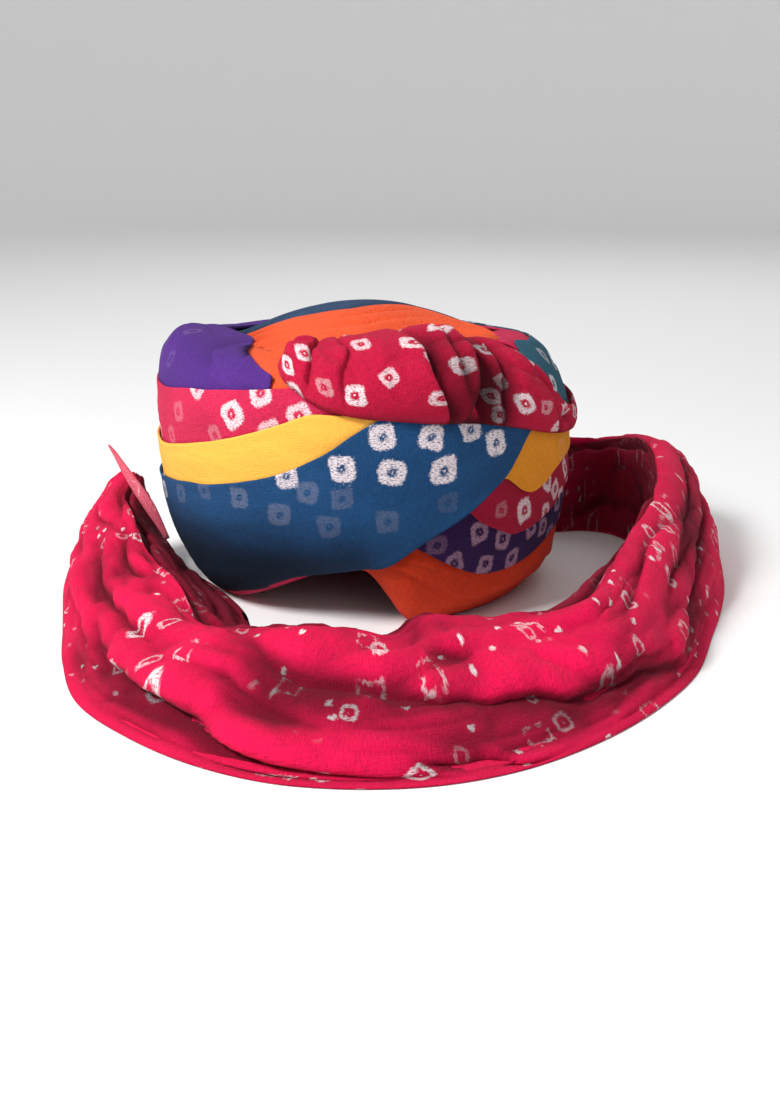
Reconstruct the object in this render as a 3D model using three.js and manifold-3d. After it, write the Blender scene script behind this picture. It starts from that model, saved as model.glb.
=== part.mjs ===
// A ready-tied turban of thin printed muslin, lying on a surface with its long crimson tail looped round it.
// Millimetres, +Z up. The front, with its raised notch over the forehead, faces -Y.
// The turban is a padded ring round the head. A turn is measured round it in degrees from the front,
// positive to the wearer's left (+X), and a section angle goes from -90 at the rim through 0 at the
// widest place and 90 at the top to the crown. Bands are walls laid on that ring, one over the next.
import * as THREE from "three";
import Module from "manifold-3d";

const wasm = await Module();
wasm.setup();

// Driving dimensions of the ring
const HALF_WIDTH = 126;
const HALF_DEPTH = 138;
const BULGE = 40;
const WAIST = 84;
const TOP = 153;
const NOTCH_RISE = 35;
const NOTCH_LEFT = 105;
const NOTCH_RIGHT = 30;
const NOTCH_REACH = 110;
const FULL_BELOW = 2.1;
const FULL_ABOVE = 3.4;
const FULL_SWING = 1.0;
const TURN_STEP = 7.5;

// The ring's top sinks round the back: how far, from which turn, over how many degrees
const BACK_DROP = 7;
const BACK_FROM = 75;
const BACK_OVER = 60;

// Cloth walls and the room between them
const CLOTH = 2;
const GAP = 0.4;
const SHINGLE = 2.9;
const TOP_LAYER = 7.0;
const ROLL_LAYER = 9.8;
const ROLL_END_LAYER = 5.6;
const TUCK = 7;

// A band's stand-off changes over this middle part of its width
const RAMP_FROM = 0.25;
const RAMP_OVER = 0.5;

// Degrees of turn over which a band climbs onto the ones that it crosses, and where each climb begins
const CLIMB = 15;
const BLUE_CLIMB = -22.5;
const TEAL_CLIMB = 142.5;
const ROLL_CLIMB = -15;
const ROLL_DESCENT = 67.5;

// The wound ring: its foot, its seat for the crown and its head hollow
const FOOT = 10;
const HOLLOW_BOTTOM = 2;
const HOLLOW_TOP = 4;
const SEAT_Z = 143.6;
const RING_INSET = 1.4;
const RING_ANGLES = [-78, -66, -52, -36, -18, 0, 18, 34, 48, 60, 72, 82, 90];

// The crown is a dome that rests on the seat
const CROWN_RISE = 26;
const CROWN_INSET = 0.6;
const CROWN_TRIM = 0.985;
const CROWN_COLUMNS = 14;
const CROWN_ROWS = 6;
const CROWN_SPLIT = 34;
const CROWN_PARTING = 3;
const PLEAT_HEIGHT = 2.2;
const PLEATS = 3;

// The tail
const TAIL_WALL = 2.6;
const TAIL_SIDES = 14;
const TAIL_STEPS = 2;
const CREASE_LIMIT = 0.3;

const degrees = THREE.MathUtils.degToRad;

function smooth(x) {
  const t = THREE.MathUtils.clamp(x, 0, 1);
  return t * t * (3 - 2 * t);
}

// Value of a table's column at x, eased from row to row. Column 0 holds x.
function along(rows, x, column = 1) {
  if (x <= rows[0][0]) return rows[0][column];
  const last = rows.length - 1;
  if (x >= rows[last][0]) return rows[last][column];
  const i = rows.findIndex((row) => row[0] > x) - 1;
  const slope = (a, b) => (rows[b][column] - rows[a][column]) / (rows[b][0] - rows[a][0]);
  const span = rows[i + 1][0] - rows[i][0];
  const here = slope(i, i + 1);
  const before = i > 0 ? slope(i - 1, i) : here;
  const after = i + 2 <= last ? slope(i + 1, i + 2) : here;
  const start = before * here > 0 ? (before + here) / 2 : 0;
  const end = after * here > 0 ? (after + here) / 2 : 0;
  const t = (x - rows[i][0]) / span;
  const a = rows[i][column];
  const b = rows[i + 1][column];
  const bend = span * (start * t * (1 - t) ** 2 - end * t * t * (1 - t));
  return a * (1 + 2 * t) * (1 - t) ** 2 + b * t * t * (3 - 2 * t) + bend;
}

// Plan radius of the ring's widest line
function outline(turn) {
  const s = Math.sin(degrees(turn)) / HALF_WIDTH;
  const c = Math.cos(degrees(turn)) / HALF_DEPTH;
  return 1 / Math.sqrt(s * s + c * c);
}

// Height of the rim: on the surface all round, lifted to a notch at the front
function rim(turn) {
  if (Math.cos(degrees(turn)) <= 0) return 0;
  const x = NOTCH_REACH * Math.sin(degrees(turn));
  const share = x < 0 ? (x + NOTCH_LEFT) / NOTCH_LEFT : (NOTCH_RIGHT - x) / NOTCH_RIGHT;
  return NOTCH_RISE * smooth(share);
}

// Height of the ring's top
function top(turn) {
  const away = Math.abs(THREE.MathUtils.euclideanModulo(turn + 180, 360) - 180);
  return TOP - BACK_DROP * smooth((away - BACK_FROM) / BACK_OVER);
}

function at(turn, radius, z) {
  return new THREE.Vector3(radius * Math.sin(degrees(turn)), -radius * Math.cos(degrees(turn)), z);
}

// A point of the ring's surface, lifted off it
function onRing(turn, angle, lift) {
  const c = Math.cos(degrees(angle));
  const s = Math.sin(degrees(angle));
  const above = s > 0;
  const full = above ? FULL_ABOVE - FULL_SWING * Math.sin(degrees(turn)) : FULL_BELOW;
  const half = above ? top(turn) - WAIST : WAIST - rim(turn);
  const share = Math.abs(c / (BULGE + lift)) ** full + Math.abs(s / (half + lift)) ** full;
  const reach = share ** (-1 / full);
  return at(turn, outline(turn) - BULGE + reach * c, WAIST + reach * s);
}

// Solids from loops of points

function toGeometry(points, triangles) {
  const position = new Float32Array(points.flatMap((p) => [p.x, p.y, p.z]));
  let volume = 0;
  for (const [a, b, c] of triangles) {
    volume += points[a].dot(new THREE.Vector3().crossVectors(points[b], points[c]));
  }
  const index = triangles.flatMap(([a, b, c]) => (volume < 0 ? [a, c, b] : [a, b, c]));
  const geometry = new THREE.BufferGeometry();
  geometry.setAttribute("position", new THREE.BufferAttribute(position, 3));
  geometry.setIndex(index);
  return geometry;
}

function join(triangles, a, b, c, d) {
  triangles.push([a, b, c], [a, c, d]);
}

// Skin between loops of equal length, each loop closed on itself
function skin(triangles, loops, size, first, closed, inward) {
  const spans = closed ? loops : loops - 1;
  for (let i = 0; i < spans; i += 1) {
    for (let j = 0; j < size; j += 1) {
      const a = first + i * size + j;
      const b = first + i * size + ((j + 1) % size);
      const c = first + ((i + 1) % loops) * size + ((j + 1) % size);
      const d = first + ((i + 1) % loops) * size + j;
      if (inward) join(triangles, d, c, b, a);
      else join(triangles, a, b, c, d);
    }
  }
}

// A wall: each loop runs up one face and back down the other, so its ends close in pairs
function wall(loops) {
  const size = loops[0].length;
  const triangles = [];
  skin(triangles, loops.length, size, 0, false, false);
  const last = (loops.length - 1) * size;
  for (let i = 0; i < size / 2 - 1; i += 1) {
    join(triangles, size - 1 - i, size - 2 - i, i + 1, i);
    join(triangles, last + i, last + i + 1, last + size - 2 - i, last + size - 1 - i);
  }
  return toGeometry(loops.flat(), triangles);
}

// A hollow tube, open at both ends
function tube(outer, inner) {
  const size = outer[0].length;
  const count = outer.length;
  const triangles = [];
  skin(triangles, count, size, 0, false, false);
  skin(triangles, count, size, count * size, false, true);
  for (let j = 0; j < size; j += 1) {
    const k = (j + 1) % size;
    const inside = count * size;
    const end = (count - 1) * size;
    join(triangles, inside + j, inside + k, k, j);
    join(triangles, end + j, end + k, inside + end + k, inside + end + j);
  }
  return toGeometry([...outer.flat(), ...inner.flat()], triangles);
}

function turns(from, to) {
  const steps = Math.round((to - from) / TURN_STEP);
  return Array.from({ length: steps + 1 }, (_, i) => from + i * TURN_STEP);
}

function mesh(name, geometry, color) {
  const material = new THREE.MeshStandardMaterial({ color, roughness: MATT, metalness: 0 });
  const piece = new THREE.Mesh(geometry, material);
  piece.name = name;
  return piece;
}

// Colours of the cloth
const CRIMSON = 0xc41f45;
const TAIL_CRIMSON = 0xe0144a;
const YELLOW = 0xf6b75a;
const BLUE = 0x2d5078;
const TEAL = 0x2e6070;
const PURPLE = 0x5f3a96;
const PLUM = 0x40203f;
const ORANGE = 0xe85a34;
const SALMON = 0xef7148;
const MATT = 0.9;

// The wound ring that goes round the head

function headRing() {
  const loops = turns(0, 360 - TURN_STEP).map((turn) => {
    const inside = outline(turn) - BULGE;
    return [
      at(turn, inside - HOLLOW_BOTTOM, rim(turn)),
      at(turn, inside + FOOT, rim(turn)),
      ...RING_ANGLES.map((angle) => onRing(turn, angle, -RING_INSET)),
      at(turn, inside, SEAT_Z),
      at(turn, inside - HOLLOW_TOP, SEAT_Z),
    ];
  });
  const triangles = [];
  skin(triangles, loops.length, loops[0].length, 0, true, false);
  return mesh("head_ring", toGeometry(loops.flat(), triangles), CRIMSON);
}

// Edges of the bands: turn, section angle

const PURPLE_TOP = [
  [-195, 89], [-100, 89], [-60, 97], [-52.5, 95], [-43, 86], [-33, 74], [-26, 66], [-20, 57],
];
const CRIMSON_TOP = [[-180, 52], [-120, 48], [-71, 47], [-43, 52], [-20, 57], [0, 62], [15, 62]];
const LEFT_YELLOW_TOP = [
  [-180, 22], [-110, 14], [-71, 14], [-42, 27], [-29, 35], [-18, 43], [-9, 48], [8, 47],
];
const BLUE_TOP = [
  [-150, -22], [-72, -15], [-53, -8], [-37, -1], [-26, 7], [-18, 15], [-9, 27], [0, 40], [6, 46], [60, 58],
];
const BLUE_BOTTOM = [
  [-12, -78], [0, -64], [12, -36], [25, -16], [32, -2], [37, 9], [41, 22], [44, 30], [52, 40], [60, 48],
];
const PLUM_BOTTOM = [
  [0, -48], [12, -35], [20, -46], [30, -55], [40, -57], [52, -55], [75, -46], [100, -48], [140, -66], [165, -78],
];
const SIDE_CRIMSON_BOTTOM = [
  [12, -20], [25, -13], [29, -23], [37, -34], [42, -38], [57, -33], [75, -22], [95, -20], [130, -34], [165, -60],
  [187.5, -78],
];
const SIDE_YELLOW_BOTTOM = [
  [25, 2], [37, 5], [48, -12], [56, -7], [76, 4], [95, 6], [130, -8], [160, -28], [195, -60], [225, -78],
];
const TEAL_BOTTOM = [
  [52.5, 36], [68, 30], [90, 34], [120, 26], [150, 4], [185, -28], [215, -56], [240, -70], [255, -70],
];
const TEAL_TOP = [
  [52.5, 64], [62, 78], [69, 86], [150, 87], [172, 84], [190, 70], [210, 42], [230, 2], [245, -30], [255, -50],
];
const ORANGE_FRONT_BOTTOM = [[-52.5, 84], [-43, 76], [-33, 66], [-26, 60], [-15, 66], [30, 68], [67.5, 74]];
const SIDE_RIDGE_TOP = [[75, 96], [100, 89], [157.5, 89]];

const RIM_ANGLE = -78;
const INNER_ANGLE = 97;
const ANGLE_STEP = 8;

// Points crowd together above this angle, where the ring's shoulder bends most
const SHOULDER = 25;
const fineness = (angle) => (angle < SHOULDER ? (angle + SHOULDER) / 2 : angle);
const fromFineness = (value) => (value < SHOULDER ? 2 * value - SHOULDER : value);

// A band between two edges. low and high give its section angles at a turn, and liftLow and liftHigh how far
// it stands off the ring there.
function band({ name, color, from, to, low, high, liftLow, liftHigh }) {
  const columns = turns(from, to);
  const widths = columns.map((turn) => fineness(high(turn)) - fineness(low(turn)));
  const across = Math.ceil(Math.max(...widths) / ANGLE_STEP);
  const loops = columns.map((turn) => {
    const a = low(turn);
    const b = high(turn);
    const inner = [];
    const outer = [];
    for (let i = 0; i <= across; i += 1) {
      const angle = fromFineness(THREE.MathUtils.lerp(fineness(a), fineness(b), i / across));
      const share = (angle - a) / (b - a);
      const climb = smooth((share - RAMP_FROM) / RAMP_OVER);
      const lift = THREE.MathUtils.lerp(liftLow(turn), liftHigh(turn), climb);
      inner.push(onRing(turn, angle, lift));
      outer.push(onRing(turn, angle, lift + CLOTH));
    }
    return [...inner, ...outer.reverse()];
  });
  return mesh(name, wall(loops), color);
}

const flat = (height) => () => height;
const edge = (rows, shift = 0) => (turn) => along(rows, turn, 1) + shift;

// Left bands: each one's upper edge lies over the band above it
const leftBands = [
  {
    name: "orange_front_wrap", color: ORANGE, from: -52.5, to: 52.5,
    low: edge(ORANGE_FRONT_BOTTOM), high: flat(INNER_ANGLE),
    liftLow: flat(0), liftHigh: flat(0),
  },
  {
    name: "purple_wrap", color: PURPLE, from: -195, to: -30,
    low: edge(CRIMSON_TOP, -TUCK), high: edge(PURPLE_TOP),
    liftLow: flat(0), liftHigh: flat(SHINGLE),
  },
  {
    name: "crimson_wrap", color: CRIMSON, from: -150, to: 15,
    low: edge(LEFT_YELLOW_TOP, -TUCK), high: edge(CRIMSON_TOP),
    liftLow: flat(0), liftHigh: flat(SHINGLE),
  },
  {
    name: "yellow_wrap", color: YELLOW, from: -142.5, to: -7.5,
    low: edge(BLUE_TOP, -TUCK), high: edge(LEFT_YELLOW_TOP),
    liftLow: flat(0), liftHigh: flat(SHINGLE),
  },
];

// Right bands: each one's lower edge lies over the band below it
const rightBands = [
  {
    name: "orange_side_wrap", color: ORANGE, from: 0, to: 142.5,
    low: flat(RIM_ANGLE), high: edge(PLUM_BOTTOM, TUCK),
  },
  {
    name: "plum_side_wrap", color: PLUM, from: 7.5, to: 157.5,
    low: edge(PLUM_BOTTOM), high: edge(SIDE_CRIMSON_BOTTOM, TUCK),
  },
  {
    name: "crimson_side_wrap", color: CRIMSON, from: 22.5, to: 172.5,
    low: edge(SIDE_CRIMSON_BOTTOM), high: edge(SIDE_YELLOW_BOTTOM, TUCK),
  },
  {
    name: "yellow_side_wrap", color: YELLOW, from: 30, to: 210,
    low: edge(SIDE_YELLOW_BOTTOM), high: edge(TEAL_BOTTOM, TUCK),
  },
].map((row) => ({ ...row, liftLow: flat(SHINGLE), liftHigh: flat(0) }));

// Bands that lie over both: blue at the front, teal at the back
const blueLift = (turn) => TOP_LAYER * smooth((turn - BLUE_CLIMB) / CLIMB);
const tealLift = (turn) => SHINGLE + (TOP_LAYER - SHINGLE) * smooth((turn - TEAL_CLIMB) / CLIMB);
const overBands = [
  {
    name: "blue_wrap", color: BLUE, from: -120, to: 60,
    low: (turn) => (turn < -12 ? RIM_ANGLE : along(BLUE_BOTTOM, turn)), high: edge(BLUE_TOP),
    liftLow: blueLift, liftHigh: (turn) => Math.max(SHINGLE, blueLift(turn)),
  },
  {
    name: "crimson_edge_wrap", color: CRIMSON, from: 75, to: 157.5,
    low: edge(TEAL_TOP, -TUCK), high: edge(SIDE_RIDGE_TOP),
    liftLow: flat(0), liftHigh: flat(0),
  },
  {
    name: "teal_top_wrap", color: TEAL, from: 52.5, to: 255,
    low: edge(TEAL_BOTTOM), high: edge(TEAL_TOP),
    liftLow: tealLift, liftHigh: tealLift,
  },
];

// The twisted roll across the upper front: turn, lower angle, upper angle, height
const ROLL = [
  [-22.5, 57, 92, 5],
  [-15, 49, 98, 9],
  [-2, 42, 100, 9],
  [8, 40, 100, 11],
  [18, 39, 99, 16],
  [26, 38, 98, 15],
  [34, 34, 92, 12],
  [42, 30, 84, 10],
  [50, 26, 76, 9],
  [58, 22, 67, 7],
  [66, 20, 60, 6],
  [78, 20, 54, 5],
  [94, 24, 50, 3],
  [112.5, 30, 45, 1.5],
];
const ROLL_ACROSS = 8;

// Its twist: grooves for each turn of the ring, their slant across the roll in degrees, and their depth
const ROLL_TWISTS = 7;
const ROLL_SLANT = 200;
const ROLL_GROOVE = 0.14;

function frontTwist() {
  const loops = turns(ROLL[0][0], ROLL[ROLL.length - 1][0]).map((turn) => {
    const low = along(ROLL, turn, 1);
    const high = along(ROLL, turn, 2);
    const height = along(ROLL, turn, 3);
    const overBlue = smooth((turn - ROLL_CLIMB) / CLIMB) * smooth((ROLL_DESCENT + CLIMB - turn) / CLIMB);
    const lift = THREE.MathUtils.lerp(ROLL_END_LAYER, ROLL_LAYER, overBlue);
    const inner = [];
    const outer = [];
    for (let i = 0; i <= ROLL_ACROSS; i += 1) {
      const share = i / ROLL_ACROSS;
      const round = Math.sqrt(Math.max(0, 1 - (2 * share - 1) ** 2));
      const twist = 1 + ROLL_GROOVE * Math.sin(degrees(ROLL_TWISTS * turn + ROLL_SLANT * share));
      inner.push(onRing(turn, low + (high - low) * share, lift));
      outer.push(onRing(turn, low + (high - low) * share, lift + CLOTH + height * round * twist));
    }
    return [...inner, ...outer.reverse()];
  });
  return mesh("front_twist", wall(loops), CRIMSON);
}

// The crown: a pleated dome in two cloths, orange in front and slate blue behind

function crownPoint(x, share, front, back, lift) {
  const halfWidth = HALF_WIDTH - BULGE - CROWN_INSET;
  const halfDepth = HALF_DEPTH - BULGE - CROWN_INSET;
  const reach = halfDepth * Math.sqrt(Math.max(0, 1 - (x / halfWidth) ** 2));
  const y = THREE.MathUtils.lerp(Math.max(front, -1) * reach, Math.min(back, 1) * reach, share);
  const rest = Math.min(1, (x / halfWidth) ** 2 + (y / halfDepth) ** 2);
  const pleat = PLEAT_HEIGHT * (1 - rest) * (1 + Math.cos(2 * Math.PI * PLEATS * share)) * 0.5;
  return new THREE.Vector3(x, y, SEAT_Z + GAP + CROWN_RISE * (1 - rest) + pleat + lift);
}

function crown(name, color, front, back) {
  const widest = (HALF_WIDTH - BULGE - CROWN_INSET) * CROWN_TRIM;
  const loops = Array.from({ length: CROWN_COLUMNS + 1 }, (_, i) => {
    const x = -widest * Math.cos((Math.PI * i) / CROWN_COLUMNS);
    const shares = Array.from({ length: CROWN_ROWS + 1 }, (_, j) => j / CROWN_ROWS);
    const under = shares.map((share) => crownPoint(x, share, front, back, 0));
    const over = shares.map((share) => crownPoint(x, share, front, back, CLOTH));
    return [...under, ...over.reverse()];
  });
  return mesh(name, wall(loops), color);
}

// The tail, from under the back of the turban round its right, front and left to its free end.
// x, y, reach to the inner foot, reach to the outer foot, height, crest, fullness outside, fullness inside.
// The crest is measured across from the middle line, positive outwards.
const TAIL = [
  [86, 74, 12, 12, 6, 0, 2, 2],
  [97, 85, 16, 16, 16, 0, 2, 2],
  [109, 95, 22, 22, 39, 0, 1.8, 2],
  [126, 108, 26, 27, 60, 0, 1.7, 2],
  [156, 113, 27, 30, 65, -6, 1.6, 2.2],
  [186, 97, 25, 32, 71, -12, 1.6, 2.4],
  [203, 62, 23, 32, 73, -20, 1.5, 2.6],
  [208, 20, 22, 29, 71, -22, 1.5, 3],
  [204, -28, 22, 29, 70, -22, 1.4, 3],
  [193, -72, 22, 30, 68, -22, 1.4, 3],
  [174, -120, 24, 32, 62, -22, 1.3, 3],
  [148, -168, 30, 38, 56, -14, 1.4, 2.4],
  [118, -208, 38, 44, 49, -4, 1.6, 1.8],
  [86, -238, 46, 50, 46, -28, 1.4, 2],
  [52, -258, 54, 54, 48, -44, 1.3, 2.4],
  [18, -268, 50, 56, 47, -20, 1.4, 2],
  [-14, -267, 50, 55, 47, -30, 1.4, 2.2],
  [-46, -256, 50, 52, 46, -28, 1.4, 2.2],
  [-76, -236, 48, 50, 42, -20, 1.5, 2],
  [-102, -206, 48, 47, 35, -22, 1.5, 1.8],
  [-118, -162, 48, 45, 43, -18, 1.6, 1.6],
  [-128, -112, 48, 45, 51, -4, 1.8, 1.3],
  [-138, -62, 36, 45, 57, -2, 1.9, 1.2],
  [-148, -18, 28, 42, 62, 2, 2, 1.2],
  [-156, 16, 24, 32, 65, 2, 2, 1.3],
];

// Long creases pressed into the tail: from station, to station, angle round the section, depth, breadth
const CREASES = [
  [6, 10.5, 64, 5, 16],
  [11, 15, 48, 4.5, 12],
  [15, 17.5, 66, 4, 12],
  [16, 19.5, 36, 5, 12],
  [20, 21.8, 74, 3, 12],
];

function tailLoops(shrink) {
  const centre = new THREE.CatmullRomCurve3(TAIL.map((row) => new THREE.Vector3(row[0], row[1], 0)));
  const stations = TAIL.length - 1;
  const table = TAIL.map((row, i) => [i, ...row]);
  return Array.from({ length: stations * TAIL_STEPS + 1 }, (_, i) => {
    const s = i / TAIL_STEPS;
    const middle = centre.getPoint(s / stations);
    const heading = centre.getTangent(s / stations);
    const outward = new THREE.Vector3(-heading.y, heading.x, 0).normalize();
    const columns = [3, 4, 5, 6, 7, 8];
    const [inside, outside, height, crest, fullOut, fullIn] = columns.map((c) => along(table, s, c));
    return Array.from({ length: TAIL_SIDES }, (_, j) => {
      const angle = (360 * (j + 0.5)) / TAIL_SIDES;
      const c = Math.cos(degrees(angle));
      const h = Math.max(0, Math.sin(degrees(angle)));
      const full = c > 0 ? fullOut : fullIn;
      const reach = c > 0 ? outside - crest : inside + crest;
      let up = height * h ** (2 / full);
      let across = crest + Math.sign(c) * reach * Math.abs(c) ** (2 / full);
      if (angle > 180) {
        across = THREE.MathUtils.lerp(-inside, outside, (angle - 180) / 180);
        up = 0;
      }
      for (const [from, to, place, depth, breadth] of CREASES) {
        const press = Math.sin(Math.PI * THREE.MathUtils.clamp((s - from) / (to - from), 0, 1)) ** 2;
        const near = Math.exp(-(((angle - place) / breadth) ** 2));
        up -= Math.min(depth * press * near, up * CREASE_LIMIT);
      }
      const middleAcross = (outside - inside) / 2;
      const narrow = 1 - (2 * shrink) / (inside + outside);
      across = middleAcross + (across - middleAcross) * narrow;
      up = shrink + up * (1 - (2 * shrink) / height);
      return middle.clone().addScaledVector(outward, across).setZ(up);
    });
  });
}

// The corner of the free end that stands out as a spike: x, y, z, radius
const SPIKE = [
  [-150, -10, 46, 5],
  [-152, -5, 57, 5],
  [-158, 2, 68, 4],
  [-166, 8, 79, 1.6],
];
const SPIKE_SIDES = 6;

function spikeGeometry() {
  const points = [];
  for (const [x, y, z, radius] of SPIKE) {
    for (let j = 0; j < SPIKE_SIDES; j += 1) {
      const a = (2 * Math.PI * j) / SPIKE_SIDES;
      points.push(new THREE.Vector3(x, y + radius * Math.cos(a), z + radius * Math.sin(a)));
    }
  }
  const triangles = [];
  skin(triangles, SPIKE.length, SPIKE_SIDES, 0, false, false);
  const end = (SPIKE.length - 1) * SPIKE_SIDES;
  for (let j = 1; j < SPIKE_SIDES - 1; j += 1) {
    triangles.push([0, j + 1, j], [end, end + j, end + j + 1]);
  }
  return toGeometry(points, triangles);
}

function toSolid(geometry) {
  return new wasm.Manifold(
    new wasm.Mesh({
      numProp: 3,
      vertProperties: new Float32Array(geometry.attributes.position.array),
      triVerts: new Uint32Array(geometry.index.array),
    }),
  );
}

function fromSolid(solid) {
  const result = solid.getMesh();
  const geometry = new THREE.BufferGeometry();
  geometry.setAttribute("position", new THREE.BufferAttribute(new Float32Array(result.vertProperties), 3));
  geometry.setIndex(Array.from(result.triVerts));
  return geometry;
}

function tail() {
  const body = toSolid(tube(tailLoops(0), tailLoops(TAIL_WALL)));
  return mesh("tail", fromSolid(body.add(toSolid(spikeGeometry()))), TAIL_CRIMSON);
}

// The whole turban, its origin at the middle of its footprint on the surface

const turban = new THREE.Group();
turban.add(headRing());
for (const row of [...leftBands, ...rightBands, ...overBands]) turban.add(band(row));
turban.add(frontTwist());
turban.add(crown("crown_orange", SALMON, -1, CROWN_SPLIT / HALF_DEPTH));
turban.add(crown("crown_slate", BLUE, (CROWN_SPLIT + CROWN_PARTING) / HALF_DEPTH, 1));
turban.add(tail());

const box = new THREE.Box3().setFromObject(turban, true);
const centre = box.getCenter(new THREE.Vector3());
turban.position.set(-centre.x, -centre.y, -box.min.z);
turban.updateMatrixWorld(true);

export default turban;
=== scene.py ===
"""A ready-tied turban of thin tie-dyed muslin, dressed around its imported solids, with its long crimson tail."""

import bmesh
import bpy
import numpy as np
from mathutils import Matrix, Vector


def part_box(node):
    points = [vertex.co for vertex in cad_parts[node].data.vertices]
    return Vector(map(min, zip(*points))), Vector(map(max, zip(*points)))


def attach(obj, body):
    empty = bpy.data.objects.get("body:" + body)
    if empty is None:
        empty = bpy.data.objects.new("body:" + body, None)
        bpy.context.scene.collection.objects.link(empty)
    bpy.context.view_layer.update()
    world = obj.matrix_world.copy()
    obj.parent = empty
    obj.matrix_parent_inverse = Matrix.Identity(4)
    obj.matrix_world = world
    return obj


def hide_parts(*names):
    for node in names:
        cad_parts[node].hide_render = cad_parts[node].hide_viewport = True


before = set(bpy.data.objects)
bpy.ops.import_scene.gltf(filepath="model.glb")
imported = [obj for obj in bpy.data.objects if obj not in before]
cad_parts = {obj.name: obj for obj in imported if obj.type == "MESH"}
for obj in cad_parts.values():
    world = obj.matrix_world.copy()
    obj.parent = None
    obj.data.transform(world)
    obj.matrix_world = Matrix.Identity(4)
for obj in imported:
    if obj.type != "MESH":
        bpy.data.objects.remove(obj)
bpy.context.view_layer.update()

# Millimetres from the middle of the head ring, on the surface it stands on
MM = 0.001
# The cloth map is in decimetres
DECIMETRE = 100.0
ring_low, ring_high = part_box("head_ring")
CENTRE = np.array([(ring_low.x + ring_high.x) / 2, (ring_low.y + ring_high.y) / 2, 0.0])

# The ring's driving sizes, as in the solids
HALF_WIDTH = 126.0
HALF_DEPTH = 138.0
BULGE = 40.0
WAIST = 84.0
TOP = 153.0
NOTCH_RISE = 35.0
NOTCH_LEFT = 105.0
NOTCH_RIGHT = 30.0
NOTCH_REACH = 110.0
FULL_BELOW = 2.1
FULL_ABOVE = 3.4
FULL_SWING = 1.0
CLOTH = 1.1
SHINGLE = 1.8
TOP_LAYER = 3.8
BACK_DROP = 7.0
BACK_FROM = 75.0
BACK_OVER = 60.0
SEAT_Z = 143.6


def smooth(x):
    t = np.clip(x, 0.0, 1.0)
    return t * t * (3 - 2 * t)


def lerp(a, b, t):
    return a + (b - a) * t


def along(rows, x, column=1):
    """A table's column at x, eased from row to row. Column 0 holds x."""
    rows = np.asarray(rows, float)
    xs, ys = rows[:, 0], rows[:, column]
    slope = np.diff(ys) / np.diff(xs)
    tangent = np.zeros(len(xs))
    tangent[0], tangent[-1] = slope[0], slope[-1]
    same = slope[:-1] * slope[1:] > 0
    tangent[1:-1] = np.where(same, (slope[:-1] + slope[1:]) / 2, 0.0)
    x = np.clip(np.asarray(x, float), xs[0], xs[-1])
    i = np.clip(np.searchsorted(xs, x, side="right") - 1, 0, len(xs) - 2)
    span = xs[i + 1] - xs[i]
    t = (x - xs[i]) / span
    start = span * tangent[i] * t * (1 - t) ** 2
    end = span * tangent[i + 1] * t * t * (1 - t)
    return ys[i] * (1 + 2 * t) * (1 - t) ** 2 + ys[i + 1] * t * t * (3 - 2 * t) + start - end


def outline(turn):
    """Plan radius of the ring's widest line."""
    a = np.radians(turn)
    return 1 / np.hypot(np.sin(a) / HALF_WIDTH, np.cos(a) / HALF_DEPTH)


def rim(turn):
    """Height of the rim, lifted to a notch at the front."""
    a = np.radians(turn)
    x = NOTCH_REACH * np.sin(a)
    rise = np.where(x < 0, smooth((x + NOTCH_LEFT) / NOTCH_LEFT), smooth((NOTCH_RIGHT - x) / NOTCH_RIGHT))
    return np.where(np.cos(a) > 0, NOTCH_RISE * rise, 0.0)


def top(turn):
    """Height of the ring's top, lower round the back."""
    away = np.abs((np.asarray(turn, float) + 180) % 360 - 180)
    return TOP - BACK_DROP * smooth((away - BACK_FROM) / BACK_OVER)


def at(turn, radius, z):
    a = np.radians(turn)
    return np.stack([radius * np.sin(a), -radius * np.cos(a), z + 0 * radius], -1)


def on_ring(turn, angle, lift):
    """A point of the ring's surface at a turn and a section angle, lifted off it."""
    turn, angle, lift = np.broadcast_arrays(np.asarray(turn, float), angle, lift)
    c, s = np.cos(np.radians(angle)), np.sin(np.radians(angle))
    full = np.where(s > 0, FULL_ABOVE - FULL_SWING * np.sin(np.radians(turn)), FULL_BELOW)
    half = np.where(s > 0, top(turn) - WAIST, WAIST - rim(turn))
    reach = (np.abs(c / (BULGE + lift)) ** full + np.abs(s / (half + lift)) ** full) ** (-1 / full)
    return at(turn, outline(turn) - BULGE + reach * c, WAIST + reach * s)


MEAN_RADIUS = (HALF_WIDTH + HALF_DEPTH) / 2
ARC_STEP = 2.0
ARC_LIFT = 2.0
ARC_TURNS = np.arange(-180.0, 181.0, ARC_STEP)
ARC_ANGLES = np.arange(-90.0, 131.0, ARC_STEP)


def arc_table():
    """Distance along the section from its widest line, at each turn and angle."""
    places = on_ring(ARC_TURNS[:, None], ARC_ANGLES[None, :], ARC_LIFT)
    steps = np.linalg.norm(np.diff(places, axis=1), axis=2)
    arcs = np.concatenate([np.zeros((len(ARC_TURNS), 1)), np.cumsum(steps, axis=1)], 1)
    return arcs - arcs[:, np.searchsorted(ARC_ANGLES, 0.0)][:, None]


ARCS = arc_table()


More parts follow.
